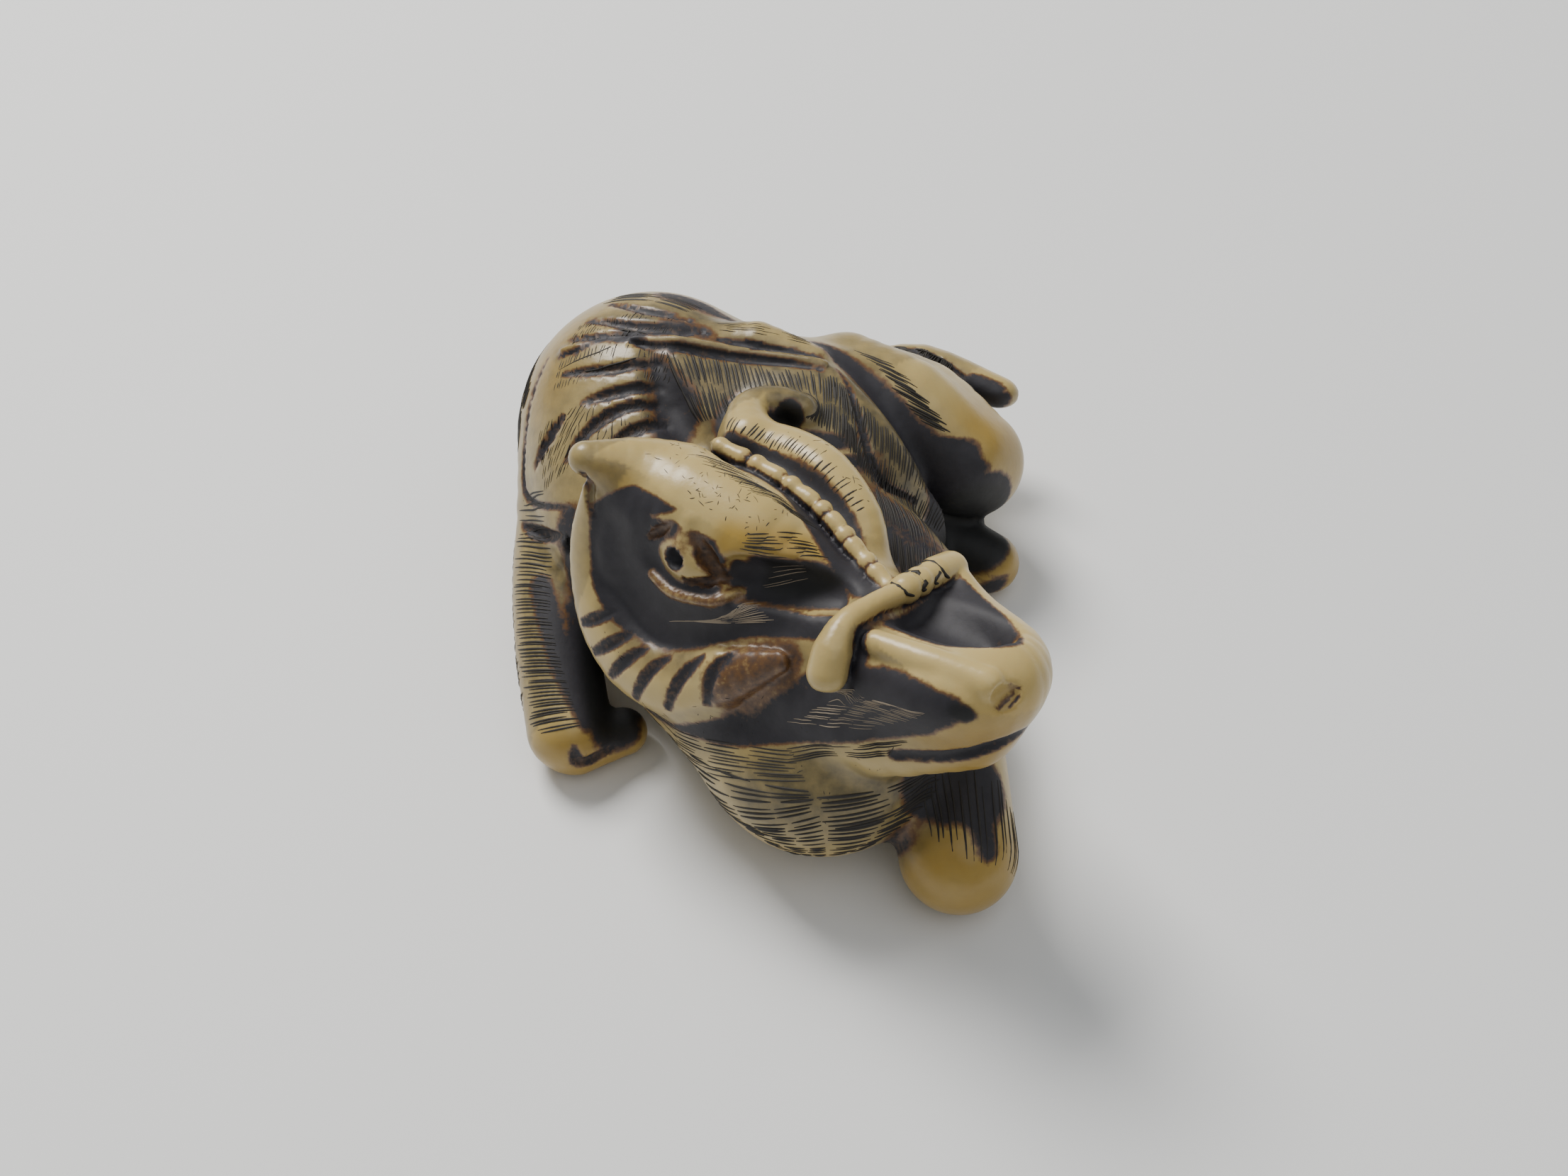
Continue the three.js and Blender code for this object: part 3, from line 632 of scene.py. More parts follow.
# the dish round the eye, forward and up from the root of the horns
dish = [
    (-1.6, -3), (0.2, -0.6), (1.2, 0.1), (4.7, 0.5), (3.2, -0.9), (5, -0.3), (6.4, -0.1), (8, 0),
    (9.4, -1.2), (10.3, 0.1), (12.2, 0.5), (14, 0.6), (16.2, -0.6), (18, -1.6), (15.2, -3.6),
    (12.6, -5.2), (11, -6.7), (9.4, -8.3), (7, -9.9), (3.4, -10.3), (0.6, -8.9), (-0.8, -6.2),
]
side = on_head[:, [0, 2]]
stain_and_shade = np.maximum(stain_and_shade, patch(side, dish, 0.6) * ease(near_side * 2) * 0.93)
# the band along the side of the jaw
band = [
    (1.5, -14.4), (4.6, -16.3), (8.6, -15.9), (11.6, -13.3), (14, -10.6), (16, -7.5), (17.6, -4),
    (19.6, -2.6), (22.3, 0.1), (26.6, 1.3), (28.2, 0.6), (27.4, -1.4), (25.6, -3.6), (22.2, -6.9),
    (18.2, -10.2), (14.4, -13.2), (10.6, -15.4), (6, -17.4), (2, -17),
]
stain_and_shade = np.maximum(stain_and_shade, patch(side, band, 0.7) * ease(near_side * 2) * 0.9)
# the hollow top of the nose
nose_top = [(19.6, 3.4), (19.5, -4.2), (21.5, -4.4), (25.6, -2.4), (27.4, -0.3), (26.6, 1.6), (24, 3.2)]
stain_and_shade = np.maximum(
    stain_and_shade, patch(on_head[:, :2], nose_top, 0.6) * ease(out @ UP * 2) * (on_head[:, 2] > -3) * 0.93
)
# the groove of the halter rope
brow_groove = Limb(
    [
        head(-0.6, -0.9, 1.2), head(4, -0.9, 1.9), head(8, -0.7, 2.2), head(12, -0.2, 1.6),
        head(15.5, 0.6, 0.9), head(17.4, 1, 0.6),
    ],
    (0.9, 1.7, 2.1, 2.3, 2, 1.5),
)
stain_and_shade = np.maximum(stain_and_shade, inside(brow_groove, 0.8) * 0.9)
# stained places on the body: pocket, hump, ridge, valley, recesses, legs and far shoulder; at the
# pocket at the valley's foot and on the far foreleg under the muzzle this darkening is partly painted
# shade
for shape, value, soft in (
    (
        Limb([body(-9.8, 14.6, 21.2), body(-8.2, 11.6, 19.8), body(-8.6, 8.8, 19.4)], (1, 2, 1.6)),
        0.85,
        1.5,
    ),
    (
        Limb([body(-9.5, 23.4, 20.8), body(-6.5, 22.6, 20.8), body(-4, 21.6, 20.2)], (1.3, 1.6, 0.8)),
        0.8,
        1.6,
    ),
    (Limb([body(-9, 18.3, 22.3), body(-6.4, 18.2, 21.8)], (1, 1)), 0.75, 1.4),
    (
        Limb(
            [
                body(2.4, 19.4, 20.4), body(6.2, 16, 19), body(9.8, 12.8, 16.2), body(12, 11.6, 12.6),
                body(12, 9, 7),
            ],
            (0.9, 1.3, 1.4, 2.2, 4),
        ),
        0.95,
        1.6,
    ),
    # partly painted shade: the pocket at the foot of the valley
    (Mass(body(15.6, 11.8, 8.6), (3.6, 3.8, 4)), 1.0, 1),
    (Limb([body(-19, 2, 10), body(-17, -3.4, 7.9), body(-15, -7.6, 5.4)], (1, 1.1, 1)), 0.95, 1.1),
    (Limb([body(-14.5, 4, 12.5), body(-14, -4, 8), body(-12, -8, 5)], (2.6, 3, 2.6)), 1.0, 1.6),
    (Limb([body(-17.4, 3.2, 13.4), body(-16, 4.6, 15)], (1.2, 1.2)), 0.8, 1.5),
    # partly painted shade, here and in the next entry: the top of the far foreleg and brisket under the
    # muzzle
    (
        Limb([body(6.4, -14, 11.4), body(10.6, -15.6, 9.8), body(13.6, -16, 9)], (2.2, 3.1, 2.6)),
        1.0,
        1.6,
    ),
    (Limb([body(13.4, -17, 8.6), body(14, -20, 7.4)], (1.5, 0.8)), 0.9, 1.2),
    (Limb([body(5, 4, 19), body(8, 3, 15), body(11, 1, 12)], (3.2, 3.2, 2.6)), 0.75, 2.5),
):
    stain_and_shade = np.maximum(stain_and_shade, inside(shape, soft) * value)
# the brown end of the crescent, then what the handling has rubbed clean
jowl_end = inside(Limb([head(13.4, 7.6, -8.4), head(15.4, 7, -5.4)], (2.4, 1.8)), 1.2)
stain_and_shade = over(stain_and_shade, jowl_end, 0.55)
for shape, soft in (
    (face_rope, 0.3), (nose_near, 0.3), (nose_twist, 0.3), (nose_far, 0.3), (eyeball, 0.3), (peak, 0.4)
):
    stain_and_shade = over(stain_and_shade, inside(shape, soft, 0.08), np.clip((groovy - 0.1) * 1.6, 0.03, 0.8))
stain_and_shade = over(stain_and_shade, inside(lid, 0.4, 0.1), 0.36)
stain_and_shade = over(stain_and_shade, inside(bar, 0.4, 0.12) * ease((on_head[:, 0] - 20.6) / 2), 0.08)
for part in (wedge, corner, slit):
    stain_and_shade = over(stain_and_shade, inside(part, 0.3, 0.12), 0.62)
stain_and_shade = over(stain_and_shade, inside(pupil, 0.2, 0.1), 1)
# the cuts themselves
for part in notches:
    stain_and_shade = np.maximum(stain_and_shade, inside(part, 0.35, 0.15) * 0.8)
for part in scored:
    stain_and_shade = np.maximum(stain_and_shade, inside(part, 0.4, 0.12) * 0.85)
stain_and_shade = np.maximum(stain_and_shade, inside(mouth, 0.4, 0.2) * 0.85)
# painted shade: the deepest holes, pockets and hollows are coloured near-pure black, darker than the
# stain, for the shadow inside them; they count as stained as well
hole_shade = np.maximum(
    inside(Mass(body(0.4, 9.6, 20.8), (1.1, 1.3, 1.3)), 0.4),
    inside(Mass(body(-16.4, 3, 13.3), (0.5, 0.8, 0.8)), 0.3),
)
hole_shade = np.maximum(hole_shade, inside(Mass(head(27.8, 5.1, 0.5), (1, 0.8, 0.6), HEAD), 0.5) * 0.9)
hole_shade = np.maximum(hole_shade, inside(Mass(body(15.6, 11, 7), (4, 3.6, 4.6)), 1.5))
hole_shade = np.maximum(hole_shade, inside(Limb([body(-14, 2, 10), body(-13, -6, 5)], (2.2, 2.6)), 1.5))
hole_shade = np.maximum(
    hole_shade,
    patch(
        side, [(10.6, -0.2), (13.4, 0.3), (15.2, -0.2), (13.6, -2), (11.2, -2.6)], 0.7
    ) * ease(near_side * 3),
)
stain_and_shade = np.maximum(stain_and_shade, hole_shade)
# the golden patina of muzzle, haunch, knees, hoofs, back and ear
gold = np.zeros(len(points))
for shape, value, soft in (
    (Mass(head(28.5, 0.5, -2.5), (4.5, 6, 4), HEAD), 1.0, 5),
    (Mass(body(15.4, 15.6, 10.5), (5, 4, 6)), 1.0, 4),
    (Mass(body(12.6, -21, 4.5), (5.5, 5, 5)), 0.9, 4),
    (Mass(body(-15.4, -9, 2.5), (5, 4, 3.4)), 1.0, 3),
    (Limb([body(-21.5, 12, 10), body(-21, 4, 7), body(-19.4, -6, 3)], (1.6, 1.6, 2.2)), 0.7, 2),
    (Mass(body(17.5, 10.8, 2.5), (3, 3, 3)), 1.0, 3),
    (Mass(body(-18, 20, 17), (4, 7, 5)), 0.7, 5),
    (Mass(body(-8, 28, 8), (8, 4, 6)), 0.6, 6),
    (Limb([head(9, 6.6, 0.4), head(13, 2.6, 1.2)], (1.4, 1.2)), 0.9, 1.6),
    (Mass(head(-1.5, 8.4, -0.6), (2.6, 2, 1.6), HEAD), 0.6, 2),
    (Limb([body(-3, -16, 6), body(3, -18, 4)], (2, 2.4)), 0.5, 3),
):
    gold = np.maximum(gold, inside(shape, soft) * value)
# the thin grey wash that the stain leaves where the hair is cut
wash = np.where(on_head[:, 0] > 0, 0.1, 0.42) + 0.5 * ease((hollow + 0.15) / 0.5)
for shape, value, soft in (
    (
        Limb([body(-9, 14, 21), body(0, 13, 21), body(6, 12, 19), body(9.6, 9, 14)], (3.4, 4, 3.6, 3)),
        0.95,
        3,
    ),
    (Limb([body(-14, 19.5, 20.5), body(-9, 19.4, 22), body(-4, 20.4, 21)], (2, 2.6, 1.6)), 0.9, 3),
    (Limb([body(-16, 15, 20.5), body(-10, 14, 21)], (1.4, 2)), 0.6, 3),
    (Limb([body(-19, 7, 12), body(-15, 9, 19), body(-11, 10, 20)], (1.4, 1.6, 1.8)), 0.55, 3),
    (Limb([body(8, 5, 16), body(11, 1, 12), body(13, -6, 9)], (4, 4, 3)), 0.95, 3),
    (Mass(body(3, -16.6, 10.6), (7, 4, 5)), 0.85, 3),
    (Limb([body(-19.6, 3, 9.4), body(-18.4, -5, 6.8)], (1.4, 1.6)), 0.7, 2),
    (Limb([body(5, 19.4, 19.6), body(9, 16, 18)], (1.6, 1.4)), 0.5, 2),
    (Limb([body(10, 28, 11), body(15, 26.6, 11)], (1.4, 1.4)), 0.6, 2),
    (Limb([head(8, 8, -17), head(16, 7.6, -12), head(22, 6.6, -7.6)], (1.6, 1.6, 1.2)), 0.45, 2),
    (Limb([head(22, 6, 0.4), head(25, 5.4, 1.4)], (1.2, 0.8)), 0.5, 1.5),
    (Limb([head(2.5, 9, -9.6), head(6, 8.8, -10.8), head(10, 8.4, -8.6)], (1.2, 1.2, 1.2)), 0.7, 1.8),
):
    wash = np.maximum(wash, inside(shape, soft) * value)
wash[(on_head[:, 2] > 0.8) & (on_head[:, 0] > -2) & (on_head[:, 1] > -7)] *= 0.25
for name, values in (("stain_and_shade", stain_and_shade), ("gold", gold), ("wash", wash), ("hole_shade", hole_shade)):
    mesh.attributes.new(name, "FLOAT", "POINT").data.foreach_set("value", values.astype(np.float32))

# The material: polished ivory, mottled, with a brown halo round the black stain.
antler = bpy.data.materials.new("antler")
antler.use_nodes = True
tree = antler.node_tree
shader = tree.nodes["Principled BSDF"]


def node(kind, **inputs):
    """A shader node with its sockets set or linked, by name or as i0, i1."""
    made = tree.nodes.new(kind)
    for key, value in inputs.items():
        socket = made.inputs[int(key[1:])] if key[0] == "i" and key[1:].isdigit() else made.inputs[key]
        if isinstance(value, bpy.types.NodeSocket):
            tree.links.new(value, socket)
        else:
            socket.default_value = value
    return made


def read(name):
    """One of the values worked out for every point of the skin."""
    made = tree.nodes.new("ShaderNodeAttribute")
    made.attribute_name = name
    return made.outputs["Fac"]


def sum_up(kind, a, b, clamp=False):
    """Sum, difference or product of two values."""
    made = node("ShaderNodeMath", i0=a, i1=b)
    made.operation = kind
    made.use_clamp = clamp
    return made.outputs[0]


def blend(amount, a, b):
    """A colour between two others."""
    made = tree.nodes.new("ShaderNodeMix")
    made.data_type = "RGBA"
    for n, value in ((0, amount), (6, a), (7, b)):
        if isinstance(value, bpy.types.NodeSocket):
            tree.links.new(value, made.inputs[n])
        else:
            made.inputs[n].default_value = value
    return made.outputs[2]


place = tree.nodes.new("ShaderNodeTexCoord").outputs["Object"]


def noise(scale, detail=3.0, rough=0.55):
    """Mottling that stays on the carving."""
    return node(
        "ShaderNodeTexNoise", Vector=place, Scale=scale, Detail=detail, Roughness=rough
    ).outputs["Fac"]


fine, broad, grain = noise(2400), noise(160), noise(900, 4)
broken = sum_up("ADD", read("stain_and_shade"), sum_up("MULTIPLY", sum_up("SUBTRACT", fine, 0.5), 0.55))
broken = sum_up("ADD", broken, sum_up("MULTIPLY", sum_up("SUBTRACT", grain, 0.5), 0.35), True)
ivory = blend(broad, (0.62, 0.475, 0.205, 1), (0.47, 0.335, 0.105, 1))
ivory = blend(
    sum_up("MULTIPLY", read("gold"), sum_up("ADD", broad, 0.35), True), ivory, (0.42, 0.25, 0.026, 1)
)
ivory = blend(
    sum_up("MULTIPLY", read("wash"), sum_up("ADD", grain, 0.45), True), ivory, (0.115, 0.092, 0.048, 1)
)
ramp = tree.nodes.new("ShaderNodeValToRGB")
tree.links.new(broken, ramp.inputs[0])
steps = ramp.color_ramp.elements
steps[0].position, steps[0].color = 0.22, (0, 0, 0, 1)
steps[1].position, steps[1].color = 0.5, (1, 1, 1, 1)
brown = blend(ramp.outputs[0], ivory, (0.15, 0.075, 0.03, 1))
dark = tree.nodes.new("ShaderNodeMapRange")
tree.links.new(broken, dark.inputs[0])
dark.inputs[1].default_value, dark.inputs[2].default_value = 0.5, 0.78
ink = blend(grain, (0.010, 0.009, 0.012, 1), (0.032, 0.029, 0.036, 1))
colour = blend(dark.outputs[0], brown, ink)
# painted shade: near-pure black over the deepest holes, pockets and hollows
colour = blend(read("hole_shade"), colour, (0.003, 0.003, 0.003, 1))
tree.links.new(colour, shader.inputs["Base Color"])
tree.links.new(
    sum_up("ADD", sum_up("MULTIPLY", dark.outputs[0], 0.3), 0.31), shader.inputs["Roughness"]
)
shader.inputs["Subsurface Weight"].default_value = 0.12
shader.inputs["Subsurface Radius"].default_value = (1, 0.6, 0.3)
shader.inputs["Subsurface Scale"].default_value = 0.001
bump = node("ShaderNodeBump", Height=grain, Strength=0.35, Distance=0.0001)
tree.links.new(bump.outputs[0], shader.inputs["Normal"])
mesh.materials.append(antler)
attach(carving, "root")
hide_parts("netsuke")


# ---------------------------------------------------------------- the engraved hair
# Fine tapered lines scratched with a burin and filled with black stain, set close together
# in families that follow the coat, each family fanned between two guide lines.
# Each line is a slender tube sunk into the skin, thin at both ends.
rng = np.random.default_rng(7)


def fanned(first, second, count, pieces=1, least=0.5, samples=9, radius=0.105, stray=0.3):
    """Lines from one guide to the other, each broken into pieces of uneven length."""
    a, b = curve(first, 12), curve(second, 12)
    made = []
    for i in range(count):
        u = (i + 0.5 + rng.uniform(-stray, stray)) / count
        ends = [
            np.array([np.interp(u * (len(g) - 1), np.arange(len(g)), g[:, k]) for k in range(3)])
            for g in (a, b)
        ]
        for n in range(pieces):
            start = (n + rng.uniform(0, 0.3)) / pieces
            stop = start + rng.uniform(least, 1.0) / pieces
            t = np.linspace(start, min(stop, 1.0), samples)[:, None]
            made.append((ends[0] + (ends[1] - ends[0]) * t, radius * rng.uniform(0.7, 1.25)))
    return made


dark_hair = []
add = dark_hair.extend
# the lay of the twisted stretch of the nose rope
for across in (0.6, -0.75, -2.1, -3.45):
    add(
        fanned(
            [head(17.3, across + 0.4, 1.2), head(17.3, across + 0.3, 1.2)],
            [head(19.5, across - 0.4, 1.4), head(19.5, across - 0.5, 1.4)],
            1,
            1,
            1,
            9,
            0.2,
        )
    )
# flank, beyond the ridge, down to the head and the valley
add(
    fanned(
        [
            body(-9.4, 15.4, 21.9), body(-5.2, 16.2, 21.3), body(-0.8, 15, 20.9),
            body(3.6, 14.4, 20.6), body(4.9, 13.2, 20.2),
        ],
        [
            body(-6.8, 10.2, 19.4), body(-4, 10, 20.4), body(0.6, 9.4, 20.9), body(3.6, 8.8, 20),
            body(5.6, 8, 18.2),
        ],
        58,
        2,
        0.75,
    )
)
add(
    fanned(
        [
            body(5, 13.2, 20.2), body(6.8, 11.8, 19.2), body(8.9, 10.9, 17.3), body(10.6, 11.5, 13.8),
            body(12, 11, 10.6),
        ],
        [
            body(5, 8, 18.4), body(6.6, 6.8, 16.6), body(8.6, 6.2, 14.8), body(10.8, 6.6, 12.2),
            body(12.6, 8.4, 9),
        ],
        42,
        2,
        0.7,
    )
)
# far shoulder, beside the head
add(
    fanned(
        [body(6.9, 6.9, 16.5), body(8.7, 6.3, 14.9), body(11.2, 7.2, 11.4), body(13.4, 7, 8)],
        [body(7.5, 0.5, 14), body(9.8, 0, 13), body(12.4, -0.8, 11.6), body(14.6, -1.4, 9)],
        38,
        2,
        0.7,
    )
)
add(
    fanned(
        [body(8, 0.2, 13.4), body(11, -0.6, 12.4), body(14.4, -1.6, 9.4)],
        [body(9, -7, 12), body(12.2, -7.6, 11), body(15.4, -8.6, 8.4)],
        20,
        2,
        0.6,
    )
)
# hatching across the folds of the hump
add(
    fanned(
        [body(-15.9, 19.9, 21.1), body(-17.6, 16, 20.1), body(-18.4, 14.4, 19)],
        [body(-9.8, 18.6, 22.5), body(-9.7, 16.4, 22.2), body(-10.2, 14.2, 21.5)],
        3,
        1,
        0.5,
    )
)
for rows in range(7):
    t = rows / 7
    left = body(-16.6 - 1.6 * t, 20 - 6 * t, 21.2 - 2 * t)
    right = body(-8.6, 19.4 - 6.4 * t, 22.2 - 1.2 * t)
    drop = body(-0.35, -0.85, -0.15)
    add(
        fanned(
            [left, (left + right) / 2, right], [left + drop, (left + right) / 2 + drop, right + drop],
            30, 1, 0.5, 4, 0.055,
        )
    )
for rows in range(5):
    t = rows / 5
    left = body(-19.2 + 0.4 * t, 12 - 5 * t, 17 - 1.5 * t)
    right = body(-10.6 + 0.8 * t, 12.4 - 3.4 * t, 21 - 1.2 * t)
    drop = body(-0.5, -1, -0.6)
    add(
        fanned(
            [left, (left + right) / 2 + body(0, 0, 1), right],
            [left + drop, (left + right) / 2 + drop, right + drop], 24, 1, 0.5, 4, 0.055,
        )
    )
# along the top of the hump, behind the ridge
add(
    fanned(
        [body(-15, 22.6, 20), body(-13.8, 24, 19.6)], [body(-7.8, 20.4, 22), body(-6.4, 22, 21)], 7, 2,
        0.6,
    )
)
add(
    fanned(
        [body(-5.6, 19.8, 21.6), body(-5, 18.6, 21.6)], [body(2, 19.2, 20.8), body(2.4, 17.6, 20.8)],
        5, 3, 0.4, 9, 0.04,
    )
)
# near foreleg, across the limb
add(
    fanned(
        [
            body(-21.5, 11, 11.1), body(-21.5, 5.4, 8.8), body(-21.1, 0.4, 7.2), body(-20.4, -4, 5.8),
            body(-19, -8.4, 4.4),
        ],
        [
            body(-18, 8, 14.6), body(-18.2, 3.4, 10.8), body(-17.9, -0.9, 8.8), body(-16.6, -5, 7.2),
            body(-15.4, -8.3, 5.6),
        ],
        64,
        1,
        0.75,
    )
)
# brisket, meeting along the keel
add(
    fanned(
        [body(-6.5, -12, 9), body(-4.7, -15.5, 6.7), body(-2.7, -18.1, 7), body(0.5, -19.2, 5)],
        [body(1.6, -18.5, 12.9), body(2.3, -19.1, 11.6), body(2.8, -19.9, 8.8), body(3, -19.8, 5.4)],
        19,
        3,
        0.75,
        9,
        0.14,
    )
)
add(
    fanned(
        [body(1.9, -18.6, 12.7), body(2.5, -19.6, 10.6), body(2.9, -19.9, 8.8), body(3.2, -19.8, 5.6)],
        [body(8.9, -16.3, 11.4), body(11, -15.6, 9.6), body(8.8, -17.8, 8), body(5.6, -19.3, 6)],
        17,
        2,
        0.8,
        9,
        0.15,
    )
)
# haunch streaks, beside the valley
add(
    fanned(
        [body(4.9, 19.8, 19.4), body(7.3, 17.2, 18.9), body(8.8, 15.4, 17.6), body(11, 13.8, 16)],
        [body(8.6, 18, 18.6), body(11, 15.4, 17.6), body(12.6, 14, 16.2), body(13.8, 13, 15)],
        17,
        1,
        0.6,
        9,
        0.12,
    )
)
# far foreleg, along the limb down to the knee
add(
    fanned(
        [body(9.5, -14.6, 10.2), body(12, -14, 10.4), body(15.4, -14.4, 8.6), body(16.6, -15, 6)],
        [body(10, -19, 8), body(12.4, -20.6, 7.6), body(15, -20.6, 6.4), body(16.4, -20.4, 4.4)],
        16,
        1,
        0.7,
        9,
        0.1,
    )
)
# forehead, running forward into the groove of the rope
add(
    fanned(
        [head(1.5, 4.8, 2.2), head(4, 5, 2.5), head(7, 4.4, 2.7), head(9, 3.2, 2.5)],
        [head(4.6, 2.6, 2.4), head(7.4, 2.6, 2.8), head(9.8, 1.2, 1.6), head(11.6, 0.6, 1.4)],
        26,
        1,
        0.6,
        9,
        0.05,
    )
)
# under edge of the near brow
add(
    fanned(
        [head(9, 6.5, 1.1), head(9.3, 6.6, 0.6), head(9.8, 6.5, 0.1)],
        [head(11.4, 2.6, 1.7), head(12.6, 2.2, 1.2), head(13.6, 1.9, 0.7)],
        8,
        2,
        0.5,
        9,
        0.06,
    )
)
# comb of short hairs along the far brow
add(
    fanned(
        [head(-0.6, -1.7, 0.8), head(3, -2.4, 1.5), head(6.5, -2.6, 2.3), head(11.8, -2.4, 1.6)],
        [head(-0.9, -3, 1.3), head(2.9, -3.8, 2.1), head(6.5, -3.9, 2.9), head(12, -3.7, 1.9)],
        32,
        1,
        0.4,
        5,
        0.08,
    )
)
# lower jaw, along its length
add(
    fanned(
        [head(9, 8, -16.4), head(9.6, 7.4, -17.6), head(10, 6, -19)],
        [head(19.4, 7.1, -9.8), head(19.8, 6.8, -11), head(20.4, 5.6, -12)],
        10,
        3,
        0.7,
        9,
        0.075,
    )
)
add(
    fanned(
        [head(18.4, 7.2, -10.2), head(18.8, 7, -11.4)], [head(25.8, 5.6, -4), head(25.2, 5.2, -6)], 6,
        2, 0.7, 9, 0.075,
    )
)
add(
    fanned(
        [head(4, 8.6, -16.4), head(5, 7.8, -17.4), head(6, 6, -19)],
        [head(10, 8, -15.4), head(10.6, 7.6, -16.4), head(11, 6, -18)],
        6,
        2,
        0.6,
        9,
        0.07,
    )
)
# round the back of the hump, the rump and the far flank
def around(centre, radius, first, last, top, low):
    """Two guide rings about an upright axis, between two bearings in degrees."""
    turns = np.radians(np.linspace(first, last, 9))
    rings = ((top, 0), (low, 0.25))
    return [
        [centre + v3(radius * np.cos(t), radius * np.sin(t), z) for t in turns + lean]
        for z, lean in rings
    ]


for centre, radius, first, last, count in (
    (body(-10.8, 17.8, 0), 11.6, 75, 185, 110), (body(7, 19, 0), 10, 10, 95, 60)
):
    add(fanned(*around(centre, radius, first, last, 18.5 if count > 80 else 14, 12.5), count, 2, 0.6))
    add(fanned(*around(centre, radius, first, last, 13, 7), count, 2, 0.6))
add(
    fanned(
        [body(-17.5, 8, 3), body(-19.6, 2, 3), body(-18.8, -5, 2)],
        [body(-21.6, 8, 9), body(-21.4, 2, 7.4), body(-20, -6, 5)], 40, 1, 0.5,
    )
)
# crackle: short specks in the polished ivory of the brow, the crescent and the muzzle
def speckled(centre, spread, axes, count, length=0.5):
    """Short bent cracks scattered about a place."""
    made = []
    for i in range(count):
        p = np.asarray(centre) + (rng.uniform(-1, 1, 3) * spread) @ axes
        d = rng.normal(size=3)
        d /= np.linalg.norm(d)
        bend = rng.normal(size=3) * 0.12
        t = np.linspace(-0.5, 0.5, 4)[:, None]
        made.append(
            (p + (d * t + bend * t * t) * length * rng.uniform(0.4, 1.3), 0.032 * rng.uniform(0.7, 1.3))
        )
    return made


add(speckled(head(5, 5, 2), (5, 2.4, 0.5), HEAD, 90))
add(speckled(head(7, 8.4, -13), (6, 0.4, 2), HEAD, 40))
add(speckled(head(19, 7, -11), (7, 1, 3), HEAD, 30, 0.35))
add(speckled(head(8, -4.5, 2), (5, 1, 0.4), HEAD, 20))
pale_hair = fanned(
    [head(17.6, 8.2, -8.6), head(19.4, 8, -5.4), head(20.4, 8, -3.6)],
    [head(23.4, 6.6, -5), head(25.4, 6.2, -2), head(26.2, 6, -0.4)],
    17,
    3,
    0.6,
    9,
    0.045,
)
pale_hair += fanned(
    [head(6.4, 7.8, -8.2), head(7.6, 7.6, -7.1), head(8.6, 7.4, -6.4)],
    [head(11.6, 5.4, -3.4), head(12.4, 5.5, -3.3), head(13.6, 5.6, -3.4)],
    14,
    2,
    0.6,
    9,
    0.05,
)
pale_hair += fanned(
    [head(10.4, 4.8, -1.4), head(11.2, 4.8, -2.8)], [head(12.8, 3.6, 0.2), head(13.4, 3.3, -1)], 5, 1,
    0.6, 9, 0.04,
)


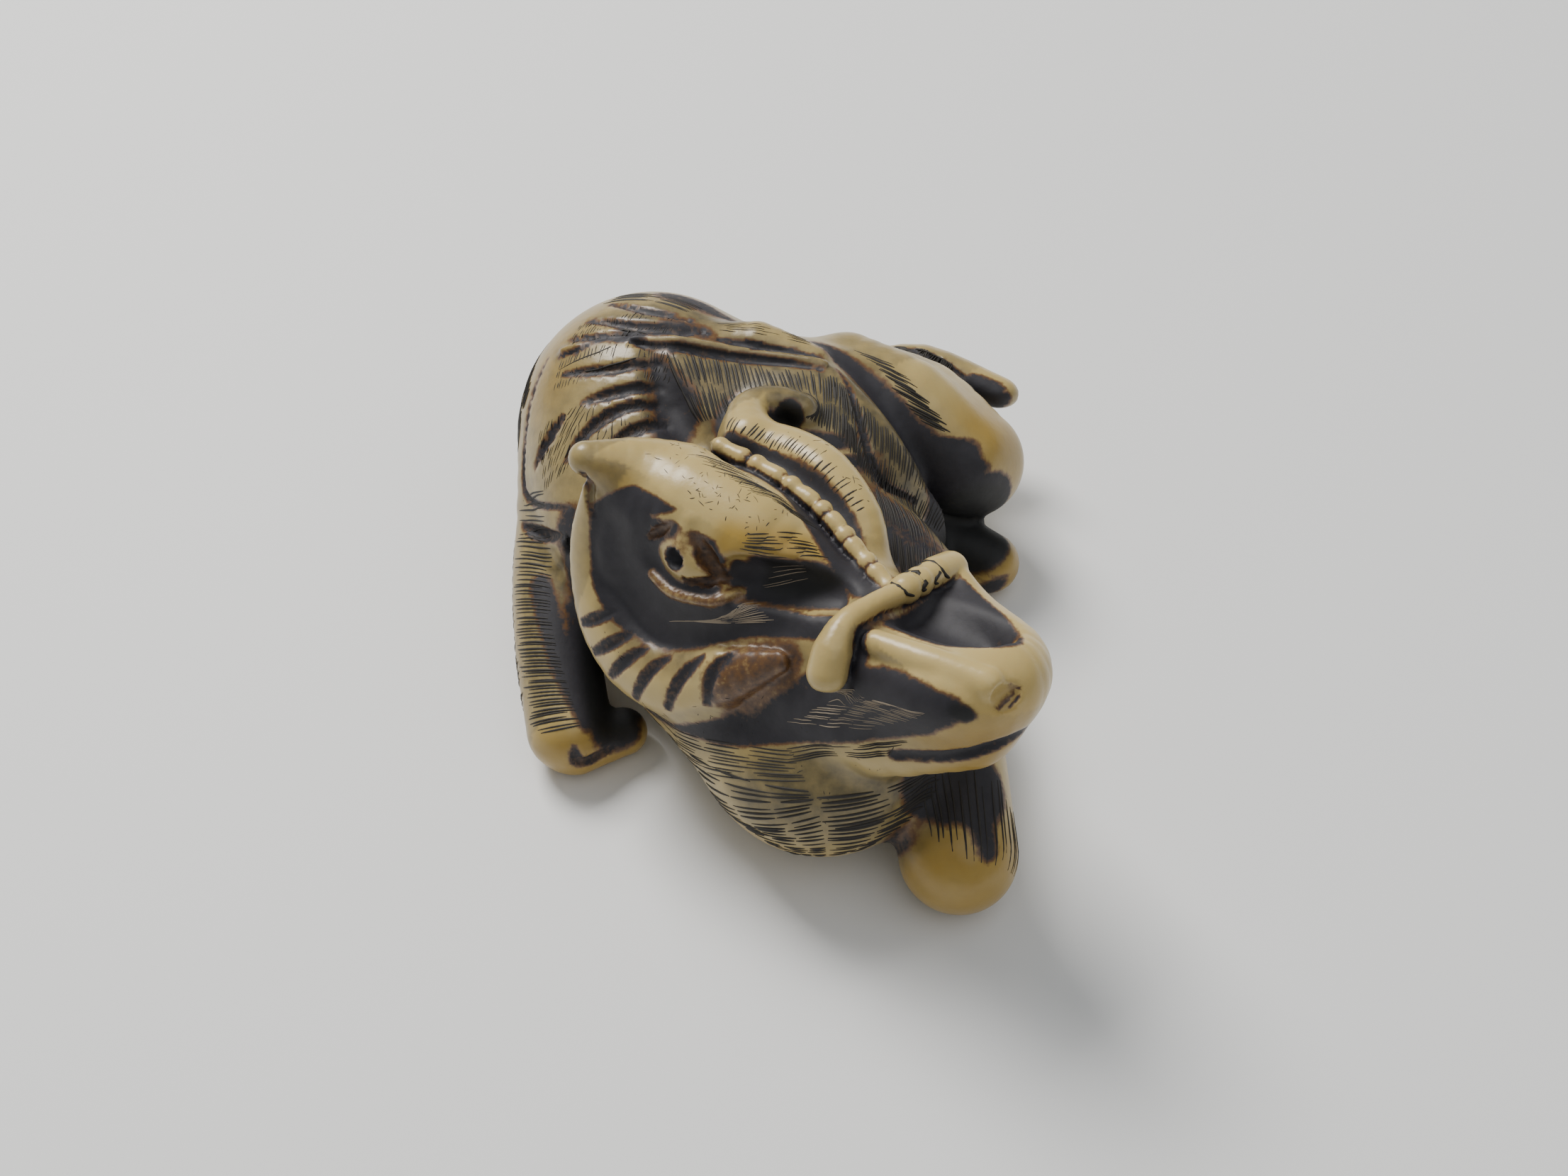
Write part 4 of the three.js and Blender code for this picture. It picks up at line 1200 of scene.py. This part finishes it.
def engrave(name, strokes, colour, sink):
    """Lays the strokes on the skin and makes them one mesh, with Geometry Nodes."""
    sizes = [len(line) for line, radius in strokes]
    every = settle(ox, np.vstack([line for line, radius in strokes]), 5, 1.5)
    far = np.abs(ox(every)) > 0.05
    normal = slope(ox, every)
    normal /= np.linalg.norm(normal, axis=1)[:, None] + 1e-9
    width = np.concatenate(
        [
            radius * np.sin(np.pi * np.linspace(0.06, 0.94, n)) ** 0.6
            for (line, radius), n in zip(strokes, sizes)
        ]
    )
    every = (every - normal * width[:, None] * sink + shift) * 0.001
    ends = np.cumsum([0] + sizes)
    verts, edges, keep = [], [], []
    for a, b in zip(ends[:-1], ends[1:]):
        if far[a:b].any() or np.linalg.norm(np.diff(every[a:b], axis=0), axis=1).max() > 0.0022:
            continue
        edges += [(len(verts) + k, len(verts) + k + 1) for k in range(b - a - 1)]
        verts += every[a:b].tolist()
        keep += (width[a:b] * 0.001).tolist()
    data = bpy.data.meshes.new(name + "_lines")
    data.from_pydata(verts, edges, [])
    data.attributes.new("width", "FLOAT", "POINT").data.foreach_set("value", keep)
    lines = bpy.data.objects.new(name + "_lines", data)
    bpy.context.scene.collection.objects.link(lines)
    paint = bpy.data.materials.new(name)
    paint.use_nodes = True
    paint.node_tree.nodes["Principled BSDF"].inputs["Base Color"].default_value = colour
    paint.node_tree.nodes["Principled BSDF"].inputs["Roughness"].default_value = 0.6
    group = bpy.data.node_groups.new(name + "_strokes", "GeometryNodeTree")
    group.interface.new_socket("Geometry", in_out="INPUT", socket_type="NodeSocketGeometry")
    sides = group.interface.new_socket("Sides", in_out="INPUT", socket_type="NodeSocketInt")
    group.interface.new_socket("Geometry", in_out="OUTPUT", socket_type="NodeSocketGeometry")
    link = group.links.new
    start = group.nodes.new("NodeGroupInput")
    end = group.nodes.new("NodeGroupOutput")
    to_curve = group.nodes.new("GeometryNodeMeshToCurve")
    tube = group.nodes.new("GeometryNodeCurveToMesh")
    section = group.nodes.new("GeometryNodeCurvePrimitiveCircle")
    stored = group.nodes.new("GeometryNodeInputNamedAttribute")
    stored.data_type = "FLOAT"
    stored.inputs["Name"].default_value = "width"
    section.inputs["Radius"].default_value = 1.0
    link(start.outputs["Sides"], section.inputs["Resolution"])
    realize = group.nodes.new("GeometryNodeRealizeInstances")
    cover = group.nodes.new("GeometryNodeSetMaterial")
    cover.inputs["Material"].default_value = paint
    link(start.outputs[0], to_curve.inputs[0])
    link(to_curve.outputs[0], tube.inputs["Curve"])
    link(section.outputs[0], tube.inputs["Profile Curve"])
    link(stored.outputs[0], tube.inputs["Scale"])
    link(tube.outputs[0], realize.inputs[0])
    link(realize.outputs[0], cover.inputs[0])
    link(cover.outputs[0], end.inputs[0])
    strokes_modifier = lines.modifiers.new("strokes", "NODES")
    strokes_modifier.node_group = group
    strokes_modifier[sides.identifier] = 5
    bpy.context.view_layer.update()
    depsgraph = bpy.context.evaluated_depsgraph_get()
    solid = bpy.data.meshes.new_from_object(lines.evaluated_get(depsgraph))
    lines.modifiers.clear()
    piece = bpy.data.objects.new(name, solid)
    bpy.context.scene.collection.objects.link(piece)
    bpy.data.objects.remove(lines)
    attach(piece, "root")
    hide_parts("netsuke")


ox.reach = 40
engrave("stained_hair", dark_hair, (0.020, 0.016, 0.012, 1), 0.35)
engrave("worn_hair", pale_hair, (0.30, 0.24, 0.17, 1), 0.4)


# ---------------------------------------------------------------- the table top
# A plain pale table, matt, wide enough to fill the view behind the carving.
floor_mesh = bpy.data.meshes.new("table_top")
floor_mesh.from_pydata(
    [(-1.5, -1.5, 0), (1.5, -1.5, 0), (1.5, 1.5, 0), (-1.5, 1.5, 0)], [], [(0, 1, 2, 3)]
)
table_top = bpy.data.objects.new("table_top", floor_mesh)
bpy.context.scene.collection.objects.link(table_top)
pale = bpy.data.materials.new("pale_table")
pale.use_nodes = True
pale.node_tree.nodes["Principled BSDF"].inputs["Base Color"].default_value = (0.86, 0.86, 0.85, 1)
pale.node_tree.nodes["Principled BSDF"].inputs["Roughness"].default_value = 0.6
floor_mesh.materials.append(pale)


# ---------------------------------------------------------------- the light
# A window above and behind the carving, to its left, and a weaker ceiling light that
# softens the shadows in front of it.
def soft_light(name, place, aim, size, power, colour):
    """A square lamp at a place, turned to face what it lights."""
    data = bpy.data.lights.new(name, "AREA")
    data.shape, data.size, data.energy, data.color = "SQUARE", size, power, colour
    lamp = bpy.data.objects.new(name, data)
    bpy.context.scene.collection.objects.link(lamp)
    lamp.location = place
    away = Vector(place) - Vector(aim)
    lamp.rotation_euler = away.to_track_quat("Z", "Y").to_euler()


soft_light("window", (-0.25, 0.35, 0.55), (0, 0, 0.01), 0.3, 5.8, (1.0, 0.98, 0.95))
soft_light("ceiling", (0.25, -0.2, 0.7), (0, 0, 0.01), 0.8, 1.5, (0.96, 0.98, 1.0))
world = bpy.data.worlds.new("room")
bpy.context.scene.world = world
world.use_nodes = True
world.node_tree.nodes["Background"].inputs["Color"].default_value = (0.75, 0.78, 0.80, 1)
world.node_tree.nodes["Background"].inputs["Strength"].default_value = 0.35


# ---------------------------------------------------------------- the camera
# It looks down on the head at fifty degrees, from eleven centimetres away.
camera_data = bpy.data.cameras.new("camera")
camera_data.lens = 33.33
camera_data.sensor_width = 36
camera_data.clip_start, camera_data.clip_end = 0.005, 10
camera = bpy.data.objects.new("camera", camera_data)
bpy.context.scene.collection.objects.link(camera)
look = math.radians(50)
aim = (Vector((0, 0, 12)) + Vector(shift)) * 0.001
camera.location = aim + Vector((0, -math.cos(look), math.sin(look))) * 0.110
camera.rotation_euler = (math.radians(90) - look, 0, 0)
bpy.context.scene.camera = camera
